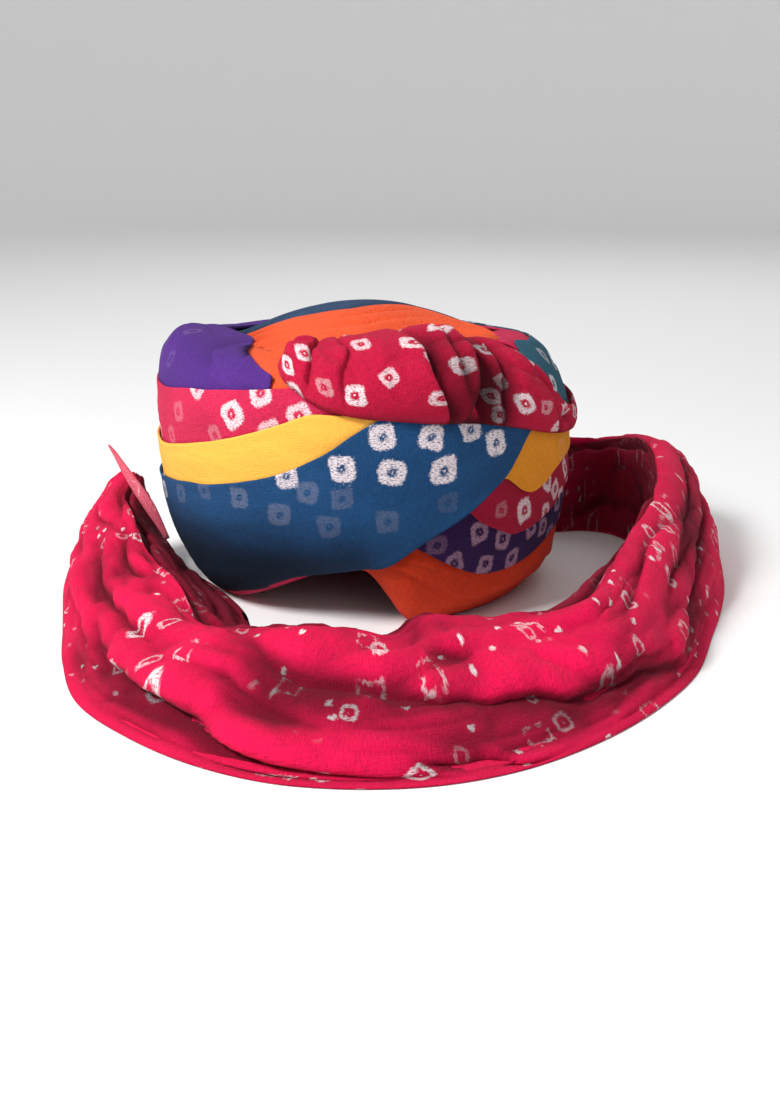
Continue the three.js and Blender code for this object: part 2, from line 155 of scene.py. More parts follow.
def ring_map(turn, angle):
    """Millimetres round the ring and up its section, for a turn and an angle."""
    turn, angle = np.broadcast_arrays(np.asarray(turn, float), np.asarray(angle, float))
    column = ((turn + 180) % 360) / ARC_STEP
    row = np.clip((angle - ARC_ANGLES[0]) / ARC_STEP, 0, len(ARC_ANGLES) - 1.001)
    i = np.clip(np.floor(column).astype(int), 0, len(ARC_TURNS) - 2)
    j = np.floor(row).astype(int)
    a = lerp(ARCS[i, j], ARCS[i + 1, j], column - i)
    b = lerp(ARCS[i, j + 1], ARCS[i + 1, j + 1], column - i)
    return np.radians(turn) * MEAN_RADIUS, lerp(a, b, row - j)


LATTICE = 64


def noise(x, y, seed):
    """Smooth random waves between -1 and 1, one lattice step long."""
    table = np.random.default_rng(seed).uniform(-1, 1, (LATTICE, LATTICE))
    xi, yi = np.floor(x).astype(int), np.floor(y).astype(int)
    xf, yf = smooth(x - xi), smooth(y - yi)
    x0, x1, y0, y1 = xi % LATTICE, (xi + 1) % LATTICE, yi % LATTICE, (yi + 1) % LATTICE
    a = lerp(table[x0, y0], table[x1, y0], xf)
    b = lerp(table[x0, y1], table[x1, y1], xf)
    return lerp(a, b, yf)


def ridged(x, y, seed):
    """Random waves with rounded tops and sharp valleys, between -1 and 0."""
    return -((1 - np.abs(noise(x, y, seed))) ** 3)


# Meshes

def build_mesh(name, points, faces, u, v, fields):
    """A closed mesh from points in millimetres round the turban's middle, with its cloth map and point fields."""
    mesh = bpy.data.meshes.new(name)
    mesh.from_pydata((points.reshape(-1, 3) * MM + CENTRE).tolist(), [], faces)
    layer = mesh.uv_layers.new(name="cloth")
    corner = np.zeros(len(mesh.loops), dtype=np.int32)
    mesh.loops.foreach_get("vertex_index", corner)
    uv = np.stack([u.ravel(), v.ravel()], -1) / DECIMETRE
    layer.data.foreach_set("uv", uv.astype(np.float32)[corner].ravel())
    for field, values in fields.items():
        attribute = mesh.attributes.new(field, "FLOAT", "POINT")
        attribute.data.foreach_set("value", np.asarray(values, np.float32).ravel())
    mesh.shade_smooth()
    mesh.update()
    piece = bpy.data.objects.new(name, mesh)
    bpy.context.scene.collection.objects.link(piece)
    turned = bmesh.new()
    turned.from_mesh(mesh)
    bmesh.ops.recalc_face_normals(turned, faces=turned.faces)
    turned.to_mesh(mesh)
    turned.free()
    return piece


def skin_faces(columns, size, first=0, closed=False):
    """Quads between loops of one size, each closed on itself."""
    i, j = np.meshgrid(np.arange(columns if closed else columns - 1), np.arange(size), indexing="ij")
    a = first + i * size + j
    b = first + i * size + (j + 1) % size
    c = first + (i + 1) % columns * size + (j + 1) % size
    d = first + (i + 1) % columns * size + j
    return np.stack([a, b, c, d], -1).reshape(-1, 4).tolist()


def capped_faces(columns, size):
    """The same quads, with a face that closes each end."""
    last = (columns - 1) * size
    return skin_faces(columns, size) + [list(range(size))[::-1], [last + k for k in range(size)]]


# The tail's cloth simulation. It settles the cloth by less than a millimetre: the creases come from tables and noise
SIM_FRAMES = 14
SIM_QUALITY = 5
SIM_MASS = 0.15
SIM_STIFFNESS = 12
SIM_BENDING = 0.35
SIM_DAMPING = 5
SIM_AIR = 3
SIM_MOST_MOVE = 7.0


def settle(start, cut, pinned):
    """How far a closed grid of points moves when the cloth in it was cut to a larger shape."""
    rows, size = start.shape[:2]
    mesh = bpy.data.meshes.new("loose_cloth")
    mesh.from_pydata((start.reshape(-1, 3) * MM).tolist(), [], skin_faces(rows, size))
    cloth = bpy.data.objects.new("loose_cloth", mesh)
    bpy.context.scene.collection.objects.link(cloth)
    cloth.shape_key_add(name="as_worn")
    larger = cloth.shape_key_add(name="as_cut")
    larger.data.foreach_set("co", (cut.reshape(-1, 3) * MM).astype(np.float32).ravel())
    larger.value = 0.0
    held = cloth.vertex_groups.new(name="held")
    held.add(np.flatnonzero(pinned.ravel()).tolist(), 1.0, "REPLACE")
    modifier = cloth.modifiers.new("settle", "CLOTH")
    settings = modifier.settings
    settings.quality = SIM_QUALITY
    settings.mass = SIM_MASS
    settings.tension_stiffness = settings.compression_stiffness = SIM_STIFFNESS
    settings.shear_stiffness = SIM_STIFFNESS / 3
    settings.bending_stiffness = SIM_BENDING
    settings.tension_damping = settings.compression_damping = SIM_DAMPING
    settings.air_damping = SIM_AIR
    settings.effector_weights.gravity = 0
    settings.vertex_group_mass = "held"
    settings.rest_shape_key = larger
    modifier.collision_settings.use_collision = False
    scene = bpy.context.scene
    modifier.point_cache.frame_start, modifier.point_cache.frame_end = 1, SIM_FRAMES
    for number in range(1, SIM_FRAMES + 1):
        scene.frame_set(number)
    shaped = cloth.evaluated_get(bpy.context.evaluated_depsgraph_get()).to_mesh()
    moved = np.empty(len(shaped.vertices) * 3, np.float32)
    shaped.vertices.foreach_get("co", moved)
    scene.frame_set(1)
    bpy.data.objects.remove(cloth)
    moved = moved.reshape(start.shape) / MM - start
    size_of_move = np.linalg.norm(moved, axis=-1, keepdims=True)
    return moved * np.minimum(1, SIM_MOST_MOVE / np.maximum(size_of_move, 1e-6))


def spread(coarse, rows, columns):
    """A coarse closed grid of moves, carried smoothly to a finer grid."""
    i = np.linspace(0, coarse.shape[0] - 1, rows)
    j = (np.arange(columns) + 0.5) * coarse.shape[1] / columns - 0.5
    a, b = np.clip(np.floor(i).astype(int), 0, coarse.shape[0] - 2), np.floor(j).astype(int)
    f, g = (i - a)[:, None, None], (j - b)[None, :, None]
    wide = coarse.shape[1]
    near = lerp(coarse[a][:, b % wide], coarse[a][:, (b + 1) % wide], g)
    far = lerp(coarse[a + 1][:, b % wide], coarse[a + 1][:, (b + 1) % wide], g)
    fine = lerp(near, far, f)
    for _ in range(2):
        fine = (np.roll(fine, 1, axis=1) + 2 * fine + np.roll(fine, -1, axis=1)) / 4
        fine[1:-1] = (fine[:-2] + 2 * fine[1:-1] + fine[2:]) / 4
    return fine


# Dots tied into the cloth: place along and across it, half size, turn, strength

FAR = 9.0
DOT_UNEVEN = 0.18
DOT_STRAY = 0.12
DOT_SPIN = 14


def dot_fields(u, v, dots, seed):
    """How far each point lies from its nearest dot's middle, in dot sizes, and that dot's strength."""
    near = np.full(u.shape, FAR)
    strength = np.zeros(u.shape)
    wobble = noise(u / 5.0, v / 5.0, seed)
    for du, dv, half, turn, power in dots:
        close = (np.abs(u - du) < 3 * half) & (np.abs(v - dv) < 3 * half)
        if not close.any():
            continue
        x, y = u[close] - du, v[close] - dv
        c, s = np.cos(np.radians(turn)), np.sin(np.radians(turn))
        across, up = (x * c + y * s) / half, (y * c - x * s) / half
        d = (np.abs(across) ** 4 + np.abs(up) ** 4) ** (1 / 4) * (1 + 0.15 * wobble[close])
        better = d < near[close]
        index = np.flatnonzero(close.ravel())[better.ravel()]
        near.ravel()[index] = d[better]
        strength.ravel()[index] = power
    return {"dot": near, "dot_strength": strength}


def scattered_dots(seed, u_range, v_range, step, half, power, keep=1.0, strong=1.0):
    """A staggered repeat of dots with the unevenness of hand tying."""
    rng = np.random.default_rng(seed)
    dots = []
    for row, v in enumerate(np.arange(v_range[0], v_range[1], step[1])):
        for u in np.arange(u_range[0] + (row % 2) * step[0] / 2, u_range[1], step[0]):
            a, b, c, d, e, f = rng.uniform(-1, 1, 6)
            if (f + 1) / 2 > keep:
                continue
            size = half * (1 + DOT_UNEVEN * c)
            stray_u, stray_v = DOT_STRAY * step[0] * a, DOT_STRAY * step[1] * b
            dots.append((u + stray_u, v + stray_v, size, DOT_SPIN * d, power * (strong if e > 0 else 1)))
    return dots


# Colours, as linear light

def srgb(red, green, blue):
    """Linear colour from 0 to 255 screen values."""
    c = np.array([red, green, blue]) / 255
    linear = np.where(c <= 0.04045, c / 12.92, ((c + 0.055) / 1.055) ** 2.4)
    return (*linear.tolist(), 1.0)


CRIMSON = srgb(202, 40, 80)
ROLL_CRIMSON = srgb(186, 22, 60)
# The right side's crimson, with painted shade: the same crimson darkened because the right side lies in shade
SHADED_SIDE_CRIMSON = srgb(166, 24, 56)
TAIL = srgb(214, 16, 72)
YELLOW = srgb(250, 182, 76)
SIDE_YELLOW = srgb(238, 152, 40)
BLUE = srgb(30, 72, 116)
TEAL = srgb(40, 92, 112)
SLATE = srgb(52, 74, 104)
PURPLE = srgb(82, 44, 128)
PLUM = srgb(46, 22, 72)
ORANGE = srgb(196, 54, 24)
CROWN_ORANGE = srgb(240, 92, 52)
PALE = srgb(238, 226, 230)
PALE_PLUM = srgb(176, 138, 160)
PALE_WARM = srgb(248, 224, 200)


# Shader groups

def new_group(name, inputs, outputs):
    """A shader group fed by the cloth map and by numbers: itself, its nodes and links, and its two end nodes."""
    group = bpy.data.node_groups.new(name, "ShaderNodeTree")
    group.interface.new_socket(name="Cloth Map", in_out="INPUT", socket_type="NodeSocketVector")
    for label, value in inputs.items():
        socket = group.interface.new_socket(name=label, in_out="INPUT", socket_type="NodeSocketFloat")
        socket.default_value = value
    for label in outputs:
        group.interface.new_socket(name=label, in_out="OUTPUT", socket_type="NodeSocketFloat")
    nodes = group.nodes
    return group, nodes, group.links, nodes.new("NodeGroupInput"), nodes.new("NodeGroupOutput")


def maths(nodes, links, operation, a, b=None, c=None, clamp=False):
    node = nodes.new("ShaderNodeMath")
    node.operation = operation
    node.use_clamp = clamp
    for slot, value in enumerate((a, b, c)):
        if value is None:
            continue
        if hasattr(value, "links"):
            links.new(value, node.inputs[slot])
        else:
            node.inputs[slot].default_value = value
    return node.outputs[0]


def stretched_noise(nodes, links, vector, across, along_it, detail=2.0):
    """Noise drawn out along one way of the cloth map, which is in decimetres."""
    mapping = nodes.new("ShaderNodeMapping")
    mapping.inputs["Scale"].default_value = (across, along_it, 1)
    links.new(vector, mapping.inputs["Vector"])
    texture = nodes.new("ShaderNodeTexNoise")
    texture.inputs["Scale"].default_value = 1
    texture.inputs["Detail"].default_value = detail
    links.new(mapping.outputs["Vector"], texture.inputs["Vector"])
    return texture.outputs["Fac"]


def make_weave_group():
    """Crepe muslin: uneven warp and weft threads, as a height and a light and dark value."""
    inputs = {"Contrast": 0.16}
    group, nodes, links, source, result = new_group("crepe_weave", inputs, ["Height", "Shade"])
    warp = stretched_noise(nodes, links, source.outputs["Cloth Map"], 130, 30)
    weft = stretched_noise(nodes, links, source.outputs["Cloth Map"], 34, 150)
    fine = stretched_noise(nodes, links, source.outputs["Cloth Map"], 230, 230)
    threads = maths(nodes, links, "ADD", warp, weft)
    height = maths(nodes, links, "MULTIPLY_ADD", fine, 0.6, threads)
    centred = maths(nodes, links, "SUBTRACT", height, 1.3)
    shade = maths(nodes, links, "MULTIPLY_ADD", centred, source.outputs["Contrast"], 1.0)
    links.new(height, result.inputs["Height"])
    links.new(shade, result.inputs["Shade"])
    return group


def make_dots_group():
    """Tie-dyed dots: a speckled ring with a dyed heart, from the distance to the nearest dot."""
    inputs = {"Distance": FAR, "Strength": 0.0, "Heart": 0.3, "Breakup": 0.0}
    group, nodes, links, source, result = new_group("tied_dots", inputs, ["Mask"])
    speckle = stretched_noise(nodes, links, source.outputs["Cloth Map"], 75, 75, 2.0)
    ragged = maths(nodes, links, "SUBTRACT", speckle, 0.5)
    distance = maths(nodes, links, "MULTIPLY_ADD", ragged, 0.42, source.outputs["Distance"])
    edge_of_dot = maths(nodes, links, "SUBTRACT", 1.0, distance)
    outer = maths(nodes, links, "MULTIPLY", edge_of_dot, 6.0, clamp=True)
    beyond = maths(nodes, links, "SUBTRACT", distance, source.outputs["Heart"])
    ring = maths(nodes, links, "MULTIPLY", beyond, 6.0, clamp=True)
    core = maths(nodes, links, "MULTIPLY_ADD", distance, -12.0, 1.9, clamp=True)
    filled = maths(nodes, links, "MAXIMUM", ring, core)
    band_of_dot = maths(nodes, links, "MULTIPLY", outer, filled)
    threads = stretched_noise(nodes, links, source.outputs["Cloth Map"], 60, 190, 1.0)
    lifted = maths(nodes, links, "MULTIPLY_ADD", threads, 3.4, -0.85, clamp=True)
    patches = stretched_noise(nodes, links, source.outputs["Cloth Map"], 13, 13, 1.0)
    whole = maths(nodes, links, "MULTIPLY_ADD", source.outputs["Breakup"], -4.0, 0.8)
    kept = maths(nodes, links, "MULTIPLY_ADD", patches, 8.0, whole, clamp=True)
    patchy = maths(nodes, links, "MULTIPLY", band_of_dot, lifted)
    broken = maths(nodes, links, "MULTIPLY", patchy, kept)
    mask = maths(nodes, links, "MULTIPLY", broken, source.outputs["Strength"], clamp=True)
    links.new(mask, result.inputs["Mask"])
    return group


def squares(nodes, links, vector, scale, metric, seed_shift):
    """Cells of scattered marks: the distance from each mark's middle and its own random value."""
    shift = nodes.new("ShaderNodeMapping")
    shift.inputs["Location"].default_value = (seed_shift, seed_shift, 0)
    shift.inputs["Scale"].default_value = (scale, scale * 1.25, 1)
    links.new(vector, shift.inputs["Vector"])
    cells = nodes.new("ShaderNodeTexVoronoi")
    cells.voronoi_dimensions = "2D"
    cells.distance = metric
    cells.inputs["Scale"].default_value = 1
    cells.inputs["Randomness"].default_value = 0.85
    links.new(shift.outputs["Vector"], cells.inputs["Vector"])
    parts = nodes.new("ShaderNodeSeparateColor")
    links.new(cells.outputs["Color"], parts.inputs["Color"])
    return cells.outputs["Distance"], parts.outputs["Red"]


def make_flecks_group():
    """Small marks where a thread was tied: bright flecks in clusters, and faint broken squares."""
    inputs = {"Amount": 0.0}
    group, nodes, links, source, result = new_group("tied_flecks", inputs, ["Mask"])
    cloth_map = source.outputs["Cloth Map"]
    ragged = maths(nodes, links, "SUBTRACT", stretched_noise(nodes, links, cloth_map, 60, 60), 0.5)
    clusters = stretched_noise(nodes, links, cloth_map, 2.3, 3.0, 0.0)
    gathered = maths(nodes, links, "MULTIPLY_ADD", clusters, 7.0, -3.2, clamp=True)
    distance, chance = squares(nodes, links, cloth_map, 7.5, "EUCLIDEAN", 3.1)
    rough = maths(nodes, links, "MULTIPLY_ADD", ragged, 0.3, distance)
    small = maths(nodes, links, "MULTIPLY_ADD", rough, -14.0, 2.1, clamp=True)
    picked = maths(nodes, links, "MULTIPLY_ADD", chance, 12.0, -7.0, clamp=True)
    flecks = maths(nodes, links, "MULTIPLY", small, picked)
    flecks = maths(nodes, links, "MULTIPLY", flecks, gathered)
    distance, chance = squares(nodes, links, cloth_map, 3.1, "CHEBYCHEV", 7.7)
    rough = maths(nodes, links, "MULTIPLY_ADD", ragged, 0.16, distance)
    from_line = maths(nodes, links, "ABSOLUTE", maths(nodes, links, "SUBTRACT", rough, 0.16))
    line = maths(nodes, links, "MULTIPLY_ADD", from_line, -26.0, 1.0, clamp=True)
    picked = maths(nodes, links, "MULTIPLY_ADD", chance, 9.0, -5.0, clamp=True)
    gaps = stretched_noise(nodes, links, cloth_map, 17, 17)
    breaks = maths(nodes, links, "MULTIPLY_ADD", gaps, 6.0, -2.6, clamp=True)
    rings = maths(nodes, links, "MULTIPLY", maths(nodes, links, "MULTIPLY", line, picked), breaks)
    both = maths(nodes, links, "MAXIMUM", flecks, maths(nodes, links, "MULTIPLY", rings, 0.8))
    mask = maths(nodes, links, "MULTIPLY", both, source.outputs["Amount"], clamp=True)
    links.new(mask, result.inputs["Mask"])
    return group


def make_dye_group():
    """Uneven dye: broad cloudy patches that lighten and darken the cloth."""
    inputs = {"Amount": 0.2}
    group, nodes, links, source, result = new_group("uneven_dye", inputs, ["Shade"])
    clouds = stretched_noise(nodes, links, source.outputs["Cloth Map"], 2.6, 3.4, 4.0)
    centred = maths(nodes, links, "SUBTRACT", clouds, 0.5)
    shade = maths(nodes, links, "MULTIPLY_ADD", centred, source.outputs["Amount"], 1.0)
    links.new(shade, result.inputs["Shade"])
    return group


WEAVE = make_weave_group()
DOTS = make_dots_group()
DYE = make_dye_group()
FLECKS = make_flecks_group()


def place_group(nodes, links, group, cloth_map):
    node = nodes.new("ShaderNodeGroup")
    node.node_tree = group
    links.new(cloth_map, node.inputs["Cloth Map"])
    return node


ROUGHNESS = 0.9
SHEEN = 0.03
SPECULAR = 0.1
THREAD_HEIGHT = 0.0009


def cloth_material(name, colour, pale=PALE, heart=0.3, contrast=0.6, dye=0.5, bump=0.9, breakup=0.0, flecks=0.0):
    """Dyed muslin: weave, uneven dye, tied dots and flecks, and painted shade that darkens the colour where a point
    field says so.
    """
    material = bpy.data.materials.new(name)
    material.use_nodes = True
    nodes, links = material.node_tree.nodes, material.node_tree.links
    shader = nodes["Principled BSDF"]
    cloth_map = nodes.new("ShaderNodeUVMap")
    cloth_map.uv_map = "cloth"
    weave = place_group(nodes, links, WEAVE, cloth_map.outputs["UV"])
    weave.inputs["Contrast"].default_value = contrast
    dyed = place_group(nodes, links, DYE, cloth_map.outputs["UV"])
    dyed.inputs["Amount"].default_value = dye
    shade = maths(nodes, links, "MULTIPLY", weave.outputs["Shade"], dyed.outputs["Shade"])
    tinted = nodes.new("ShaderNodeVectorMath")
    tinted.operation = "SCALE"
    tinted.inputs[0].default_value = colour[:3]
    links.new(shade, tinted.inputs["Scale"])
    dots = place_group(nodes, links, DOTS, cloth_map.outputs["UV"])
    dots.inputs["Heart"].default_value = heart
    dots.inputs["Breakup"].default_value = breakup
    for field, socket in (("dot", "Distance"), ("dot_strength", "Strength")):
        attribute = nodes.new("ShaderNodeAttribute")
        attribute.attribute_name = field
        links.new(attribute.outputs["Fac"], dots.inputs[socket])
    stray = place_group(nodes, links, FLECKS, cloth_map.outputs["UV"])
    stray.inputs["Amount"].default_value = flecks
    marks = maths(nodes, links, "MAXIMUM", dots.outputs["Mask"], stray.outputs["Mask"])
    mix = nodes.new("ShaderNodeMix")
    mix.data_type = "RGBA"
    links.new(marks, mix.inputs["Factor"])
    links.new(tinted.outputs["Vector"], mix.inputs["A"])
    mix.inputs["B"].default_value = pale
    # Painted shade: a point field darkens the colour down in folds and hollows and on slopes turned away from the light
    painted_shade = nodes.new("ShaderNodeAttribute")
    painted_shade.attribute_name = "painted_shade"
    kept = maths(nodes, links, "SUBTRACT", 1.0, painted_shade.outputs["Fac"], clamp=True)
    painted_darkening = nodes.new("ShaderNodeVectorMath")
    painted_darkening.operation = "SCALE"
    links.new(mix.outputs["Result"], painted_darkening.inputs[0])
    links.new(kept, painted_darkening.inputs["Scale"])
    links.new(painted_darkening.outputs["Vector"], shader.inputs["Base Color"])
    relief = nodes.new("ShaderNodeBump")
    relief.inputs["Strength"].default_value = bump
    relief.inputs["Distance"].default_value = THREAD_HEIGHT
    links.new(weave.outputs["Height"], relief.inputs["Height"])
    links.new(relief.outputs["Normal"], shader.inputs["Normal"])
    shader.inputs["Roughness"].default_value = ROUGHNESS
    shader.inputs["Sheen Weight"].default_value = SHEEN
    shader.inputs["Specular IOR Level"].default_value = SPECULAR
    return material


# Bands wrapped on the ring

COLUMN_STEP = 1.0
FACE_ROWS = 44
UNDER_ROWS = 6
ROUND_ROWS = 3
CREPE = 0.25


def band(name, low, high, span, lift_low, lift_high, seed, folds=(), dots=(), ripple=0.35, edge_roll=0.5, hollows=(),
         steps=(), painted_shade=None):
    """A cloth band between two edges on the ring, its folded edges rounded, with folds running along it.

    folds are rows of place across, depth, breadth, first turn and last turn. hollows are rows of turn, angle,
    depth, breadth along and breadth across. steps are a height, a table of turn and angle above which the
    cloth lies one fold higher, and a table of where the next band covers it. The last argument gives how much
    painted shade darkens the cloth, at a turn and an angle.
    """
    turns = np.linspace(span[0], span[1], int(round((span[1] - span[0]) / COLUMN_STEP)) + 1)
    rough = 0.35 * noise(turns / 7.0, 0 * turns, seed + 5)
    a = (low(turns) + rough)[:, None]
    b = (high(turns) - rough)[:, None]
    share = np.linspace(0, 1, FACE_ROWS)[None, :]
    turn = np.repeat(turns[:, None], FACE_ROWS, 1)
    angle = a + (b - a) * share
    lift = lerp(lift_low(turns)[:, None], lift_high(turns)[:, None], smooth((share - 0.2) / 0.6))
    u, v = ring_map(turn, angle)
    up = v - v[:, :1]
    relief = ripple * noise(u / 34.0, v / 13.0, seed) + 0.5 * ripple * noise(u / 15.0, v / 6.0, seed + 1)
    relief += CREPE * ridged(u / 30.0 + v / 22.0, v / 5.0, seed + 2)
    for place, depth, breadth, first, last in folds:
        press = smooth((turn - first) / 8.0) * smooth((last - turn) / 8.0)
        away = (share - place) * up[:, -1:] / breadth
        relief -= depth * press * np.exp(-np.abs(away) ** 1.3)
    for middle, height_angle, depth, wide, tall in hollows:
        relief -= depth * np.exp(-(((turn - middle) / wide) ** 2) - ((angle - height_angle) / tall) ** 2)
    for rise, line, until in steps:
        above = angle - along(line, turn)
        clear = smooth((along(until, turn) - 2 - angle) / 6)
        relief += rise * clear * smooth(above / 2.5 + 0.5) * np.exp(-np.maximum(above, 0) / 14.0)
    width = up[:, -1:]
    near_edge = np.exp(-(share * width / 3.0) ** 2) + np.exp(-((1 - share) * width / 3.0) ** 2)
    relief = relief * (1 - 0.6 * near_edge) + edge_roll * near_edge
    height = lift + CLOTH + relief
    face = on_ring(turn, angle, height)
    under_share = np.linspace(1, 0, UNDER_ROWS)[None, :]
    under_lift = lerp(lift_low(turns)[:, None], lift_high(turns)[:, None], smooth((under_share - 0.2) / 0.6))
    under = on_ring(np.repeat(turns[:, None], UNDER_ROWS, 1), a + (b - a) * under_share, under_lift)
    bend = np.radians(np.linspace(0, 180, ROUND_ROWS + 2)[1:-1])[None, :]
    per_degree = (width[:, -1] / np.maximum(b - a, 1e-3)[:, 0])[:, None]
    loops = [face]
    for end, sign, lift_end in ((-1, 1, lift[:, -1:]), (0, -1, lift[:, :1])):
        thick = height[:, end][:, None] - lift_end
        middle = lift_end + thick / 2
        out = np.sin(bend) * thick / 2 / per_degree * sign
        raised = middle + (thick / 2) * np.cos(bend) * sign
        edge_angle = angle[:, end][:, None] + out
        loops.append(on_ring(np.repeat(turns[:, None], ROUND_ROWS, 1), edge_angle, raised))
    points = np.concatenate([loops[0], loops[1], under, loops[2]], 1)
    size = points.shape[1]
    all_u = np.repeat(u[:, :1], size, 1)
    hidden_v = lerp(v[:, -1:], v[:, :1], np.linspace(0, 1, size - FACE_ROWS)[None, :])
    all_v = np.concatenate([v, hidden_v], 1)
    fields = dot_fields(all_u, all_v, dots, seed)
    # Painted shade on the band's face, where the band is given it
    if painted_shade:
        painted_darkening = np.zeros(all_u.shape)
        painted_darkening[:, :FACE_ROWS] = painted_shade(turn, angle)
        fields["painted_shade"] = painted_darkening
    piece = build_mesh(name, points, capped_faces(len(turns), size), all_u, all_v, fields)
    return piece, (float(np.ptp(u)) * MM, float(np.mean(width)) * MM)


def level(value):
    return lambda turns: value + 0 * turns


def edge(rows, shift=0.0):
    return lambda turns: along(rows, turns) + shift


# Edges of the bands: turn, section angle
PURPLE_TOP = [[-196, 89], [-100, 89], [-60, 99], [-50, 95], [-43, 87], [-33, 75], [-26, 66], [-20, 60]]
CRIMSON_TOP = [[-180, 52], [-120, 48], [-71, 47], [-43, 52], [-20, 57], [0, 62], [15, 62]]
LEFT_YELLOW_TOP = [[-180, 22], [-110, 14], [-71, 14], [-42, 27], [-29, 35], [-18, 43], [-9, 48], [8, 47]]
BLUE_TOP = [[-150, -22], [-72, -15], [-53, -8], [-37, -1], [-26, 7], [-18, 15], [-9, 27], [0, 40], [6, 46], [60, 58]]
BLUE_BOTTOM = [
    [-30, -76], [-12, -70], [0, -62], [12, -36], [25, -16], [32, -2], [37, 9], [41, 22], [44, 30], [52, 40], [60, 48],
]
PLUM_BOTTOM = [
    [0, -30], [12, -35], [20, -46], [30, -55], [40, -57], [52, -55], [67, -48], [90, -47], [115, -54], [140, -66],
    [165, -78],
]
SIDE_CRIMSON_BOTTOM = [
    [12, -10], [25, -13], [29, -23], [37, -34], [42, -38], [57, -33], [75, -22], [95, -20], [130, -34], [165, -60],
    [187.5, -78],
]
SIDE_YELLOW_BOTTOM = [
    [25, 6], [37, 5], [43, -7], [48, -12], [52, -10], [61, -1], [76, 4], [95, 6], [130, -8], [160, -28], [195, -60],
    [225, -78],
]
TEAL_BOTTOM = [[52.5, 36], [68, 30], [90, 34], [120, 26], [150, 4], [185, -28], [215, -56], [240, -70], [255, -70]]
TEAL_TOP = [
    [52.5, 64], [60, 76], [66, 80], [74, 76], [100, 76], [150, 80], [172, 84], [190, 70], [210, 42], [230, 2],
    [245, -30], [255, -50],
]
ORANGE_FRONT_LOW = [[-52.5, 84], [-43, 76], [-33, 66], [-26, 58], [-18, 52], [-5, 60], [30, 64], [60, 72]]
SIDE_RIDGE_TOP = [[62, 99], [75, 97], [100, 89], [160, 89]]
# Folds across the orange side cloth: turn, section angle
ORANGE_FOLD = [[0, -60], [7, -50], [14, -55], [22, -62], [34, -68], [60, -68], [146, -74]]
ORANGE_SECOND_FOLD = [[0, -40], [10, -44], [20, -52], [34, -60], [60, -61], [146, -72]]
# Where the blue and then the plum cloth cover it
ORANGE_COVER = [
    [-2, -68], [0, -62], [6, -50], [12, -38], [20, -46], [30, -55], [40, -57], [52, -55], [67, -48], [90, -47],
    [115, -54],
    [140, -66], [165, -78],
]
RIM_ANGLE = -78
INNER_ANGLE = 99
TUCK = 8


# Where the blue and the teal climb onto the bands below, and over how many degrees
BLUE_CLIMB = -22.5
TEAL_CLIMB = 142.5
CLIMB = 18


def blue_lift(turns):
    return TOP_LAYER * smooth((turns - BLUE_CLIMB) / CLIMB)


def blue_high_lift(turns):
    return np.maximum(SHINGLE, blue_lift(turns))


def teal_lift(turns):
    return SHINGLE + (TOP_LAYER - SHINGLE) * smooth((turns - TEAL_CLIMB) / CLIMB)


def blue_low(turns):
    return np.where(turns < -30, RIM_ANGLE, along(BLUE_BOTTOM, turns))


def blue_painted_shade(turn, angle):
    """Painted shade: the blue darkens towards the rim, most at the left, where it curves under."""
    return 0.8 * smooth((-14 - angle) / 46) * smooth((34 - turn) / 60)


def pinch_painted_shade(turn, angle):
    """Painted shade: the cloth is darkest down in the pinch."""
    return 0.8 * np.exp(-(((turn + 40) / 9.0) ** 2) - ((angle - 86) / 16.0) ** 2)


# Dots that face the front, tied from the photograph: turn, section angle, half size, spin, strength
BLUE_CHART = [
    [-17, 14, 6.4, 10, 0.9], [-4, 21, 7.2, 6, 1.0], [7, 18, 7.4, -6, 1.0], [19, 17, 7.8, 10, 1.0], [5, 38, 7.0, 4, 1.0],
    [16, 37, 7.2, -8, 1.0], [26, 39, 6.6, 8, 0.9], [33, 30, 7.0, 14, 1.0], [-30, -7, 6.4, 6, 0.12],
    [-12, 3, 6.2, 0, 0.11], [-19, -16, 6.6, 0, 0.11], [-4, 0, 6.2, 8, 0.08], [-7, -21, 6.6, 8, 0.08],
    [6, -17, 6.8, 0, 0.08], [-54, -18, 6.4, 4, 0.08], [-42, -8, 5.8, 4, 0.07], [20, -6, 6.0, 4, 0.05],
]
CRIMSON_CHART = [
    [-45, 53, 7.0, 45, 0.85], [-32, 45, 7.4, 42, 1.0], [-24, 55, 7.2, 20, 0.95], [-21, 40, 7.0, 30, 0.8],
    [-14, 48, 6.8, 20, 0.9],
    [-38, 34, 5.6, 20, 0.2], [-54, 40, 6.4, 20, 0.16], [-60, 24, 6.2, 30, 0.14],
]
PLUM_CHART = [
    [30, -33, 6.8, 10, 0.9], [38, -41, 6.8, -10, 0.95], [18, -36, 6.0, 0, 0.3], [23, -48, 6.2, 12, 0.7],
    [33, -52, 6.2, -8, 0.8],
    [43, -53, 6.2, 8, 0.8], [50, -40, 6.2, 20, 0.85], [57, -43, 6.0, 0, 0.8],
]
SIDE_CRIMSON_CHART = [
    [45, -25, 7.2, 14, 1.0], [57, -11, 5.8, -20, 0.9], [72, -10, 6.0, 20, 0.9], [67, -28, 5.8, 10, 0.85],
    [56, -32, 5.8, 0, 0.8],
    [36, -20, 5.0, 0, 0.2], [62, -20, 5.8, 30, 0.8],
]
TEAL_CHART = [[53, 66, 6.2, 10, 0.9], [66, 52, 6.0, -20, 0.9], [72, 66, 6.0, -20, 0.5]]


def charted(rows):
    """Dots given by turn and angle, as places on the ring's map."""
    return [(*(float(c) for c in ring_map(turn, angle)), half, spin, power) for turn, angle, half, spin, power in rows]


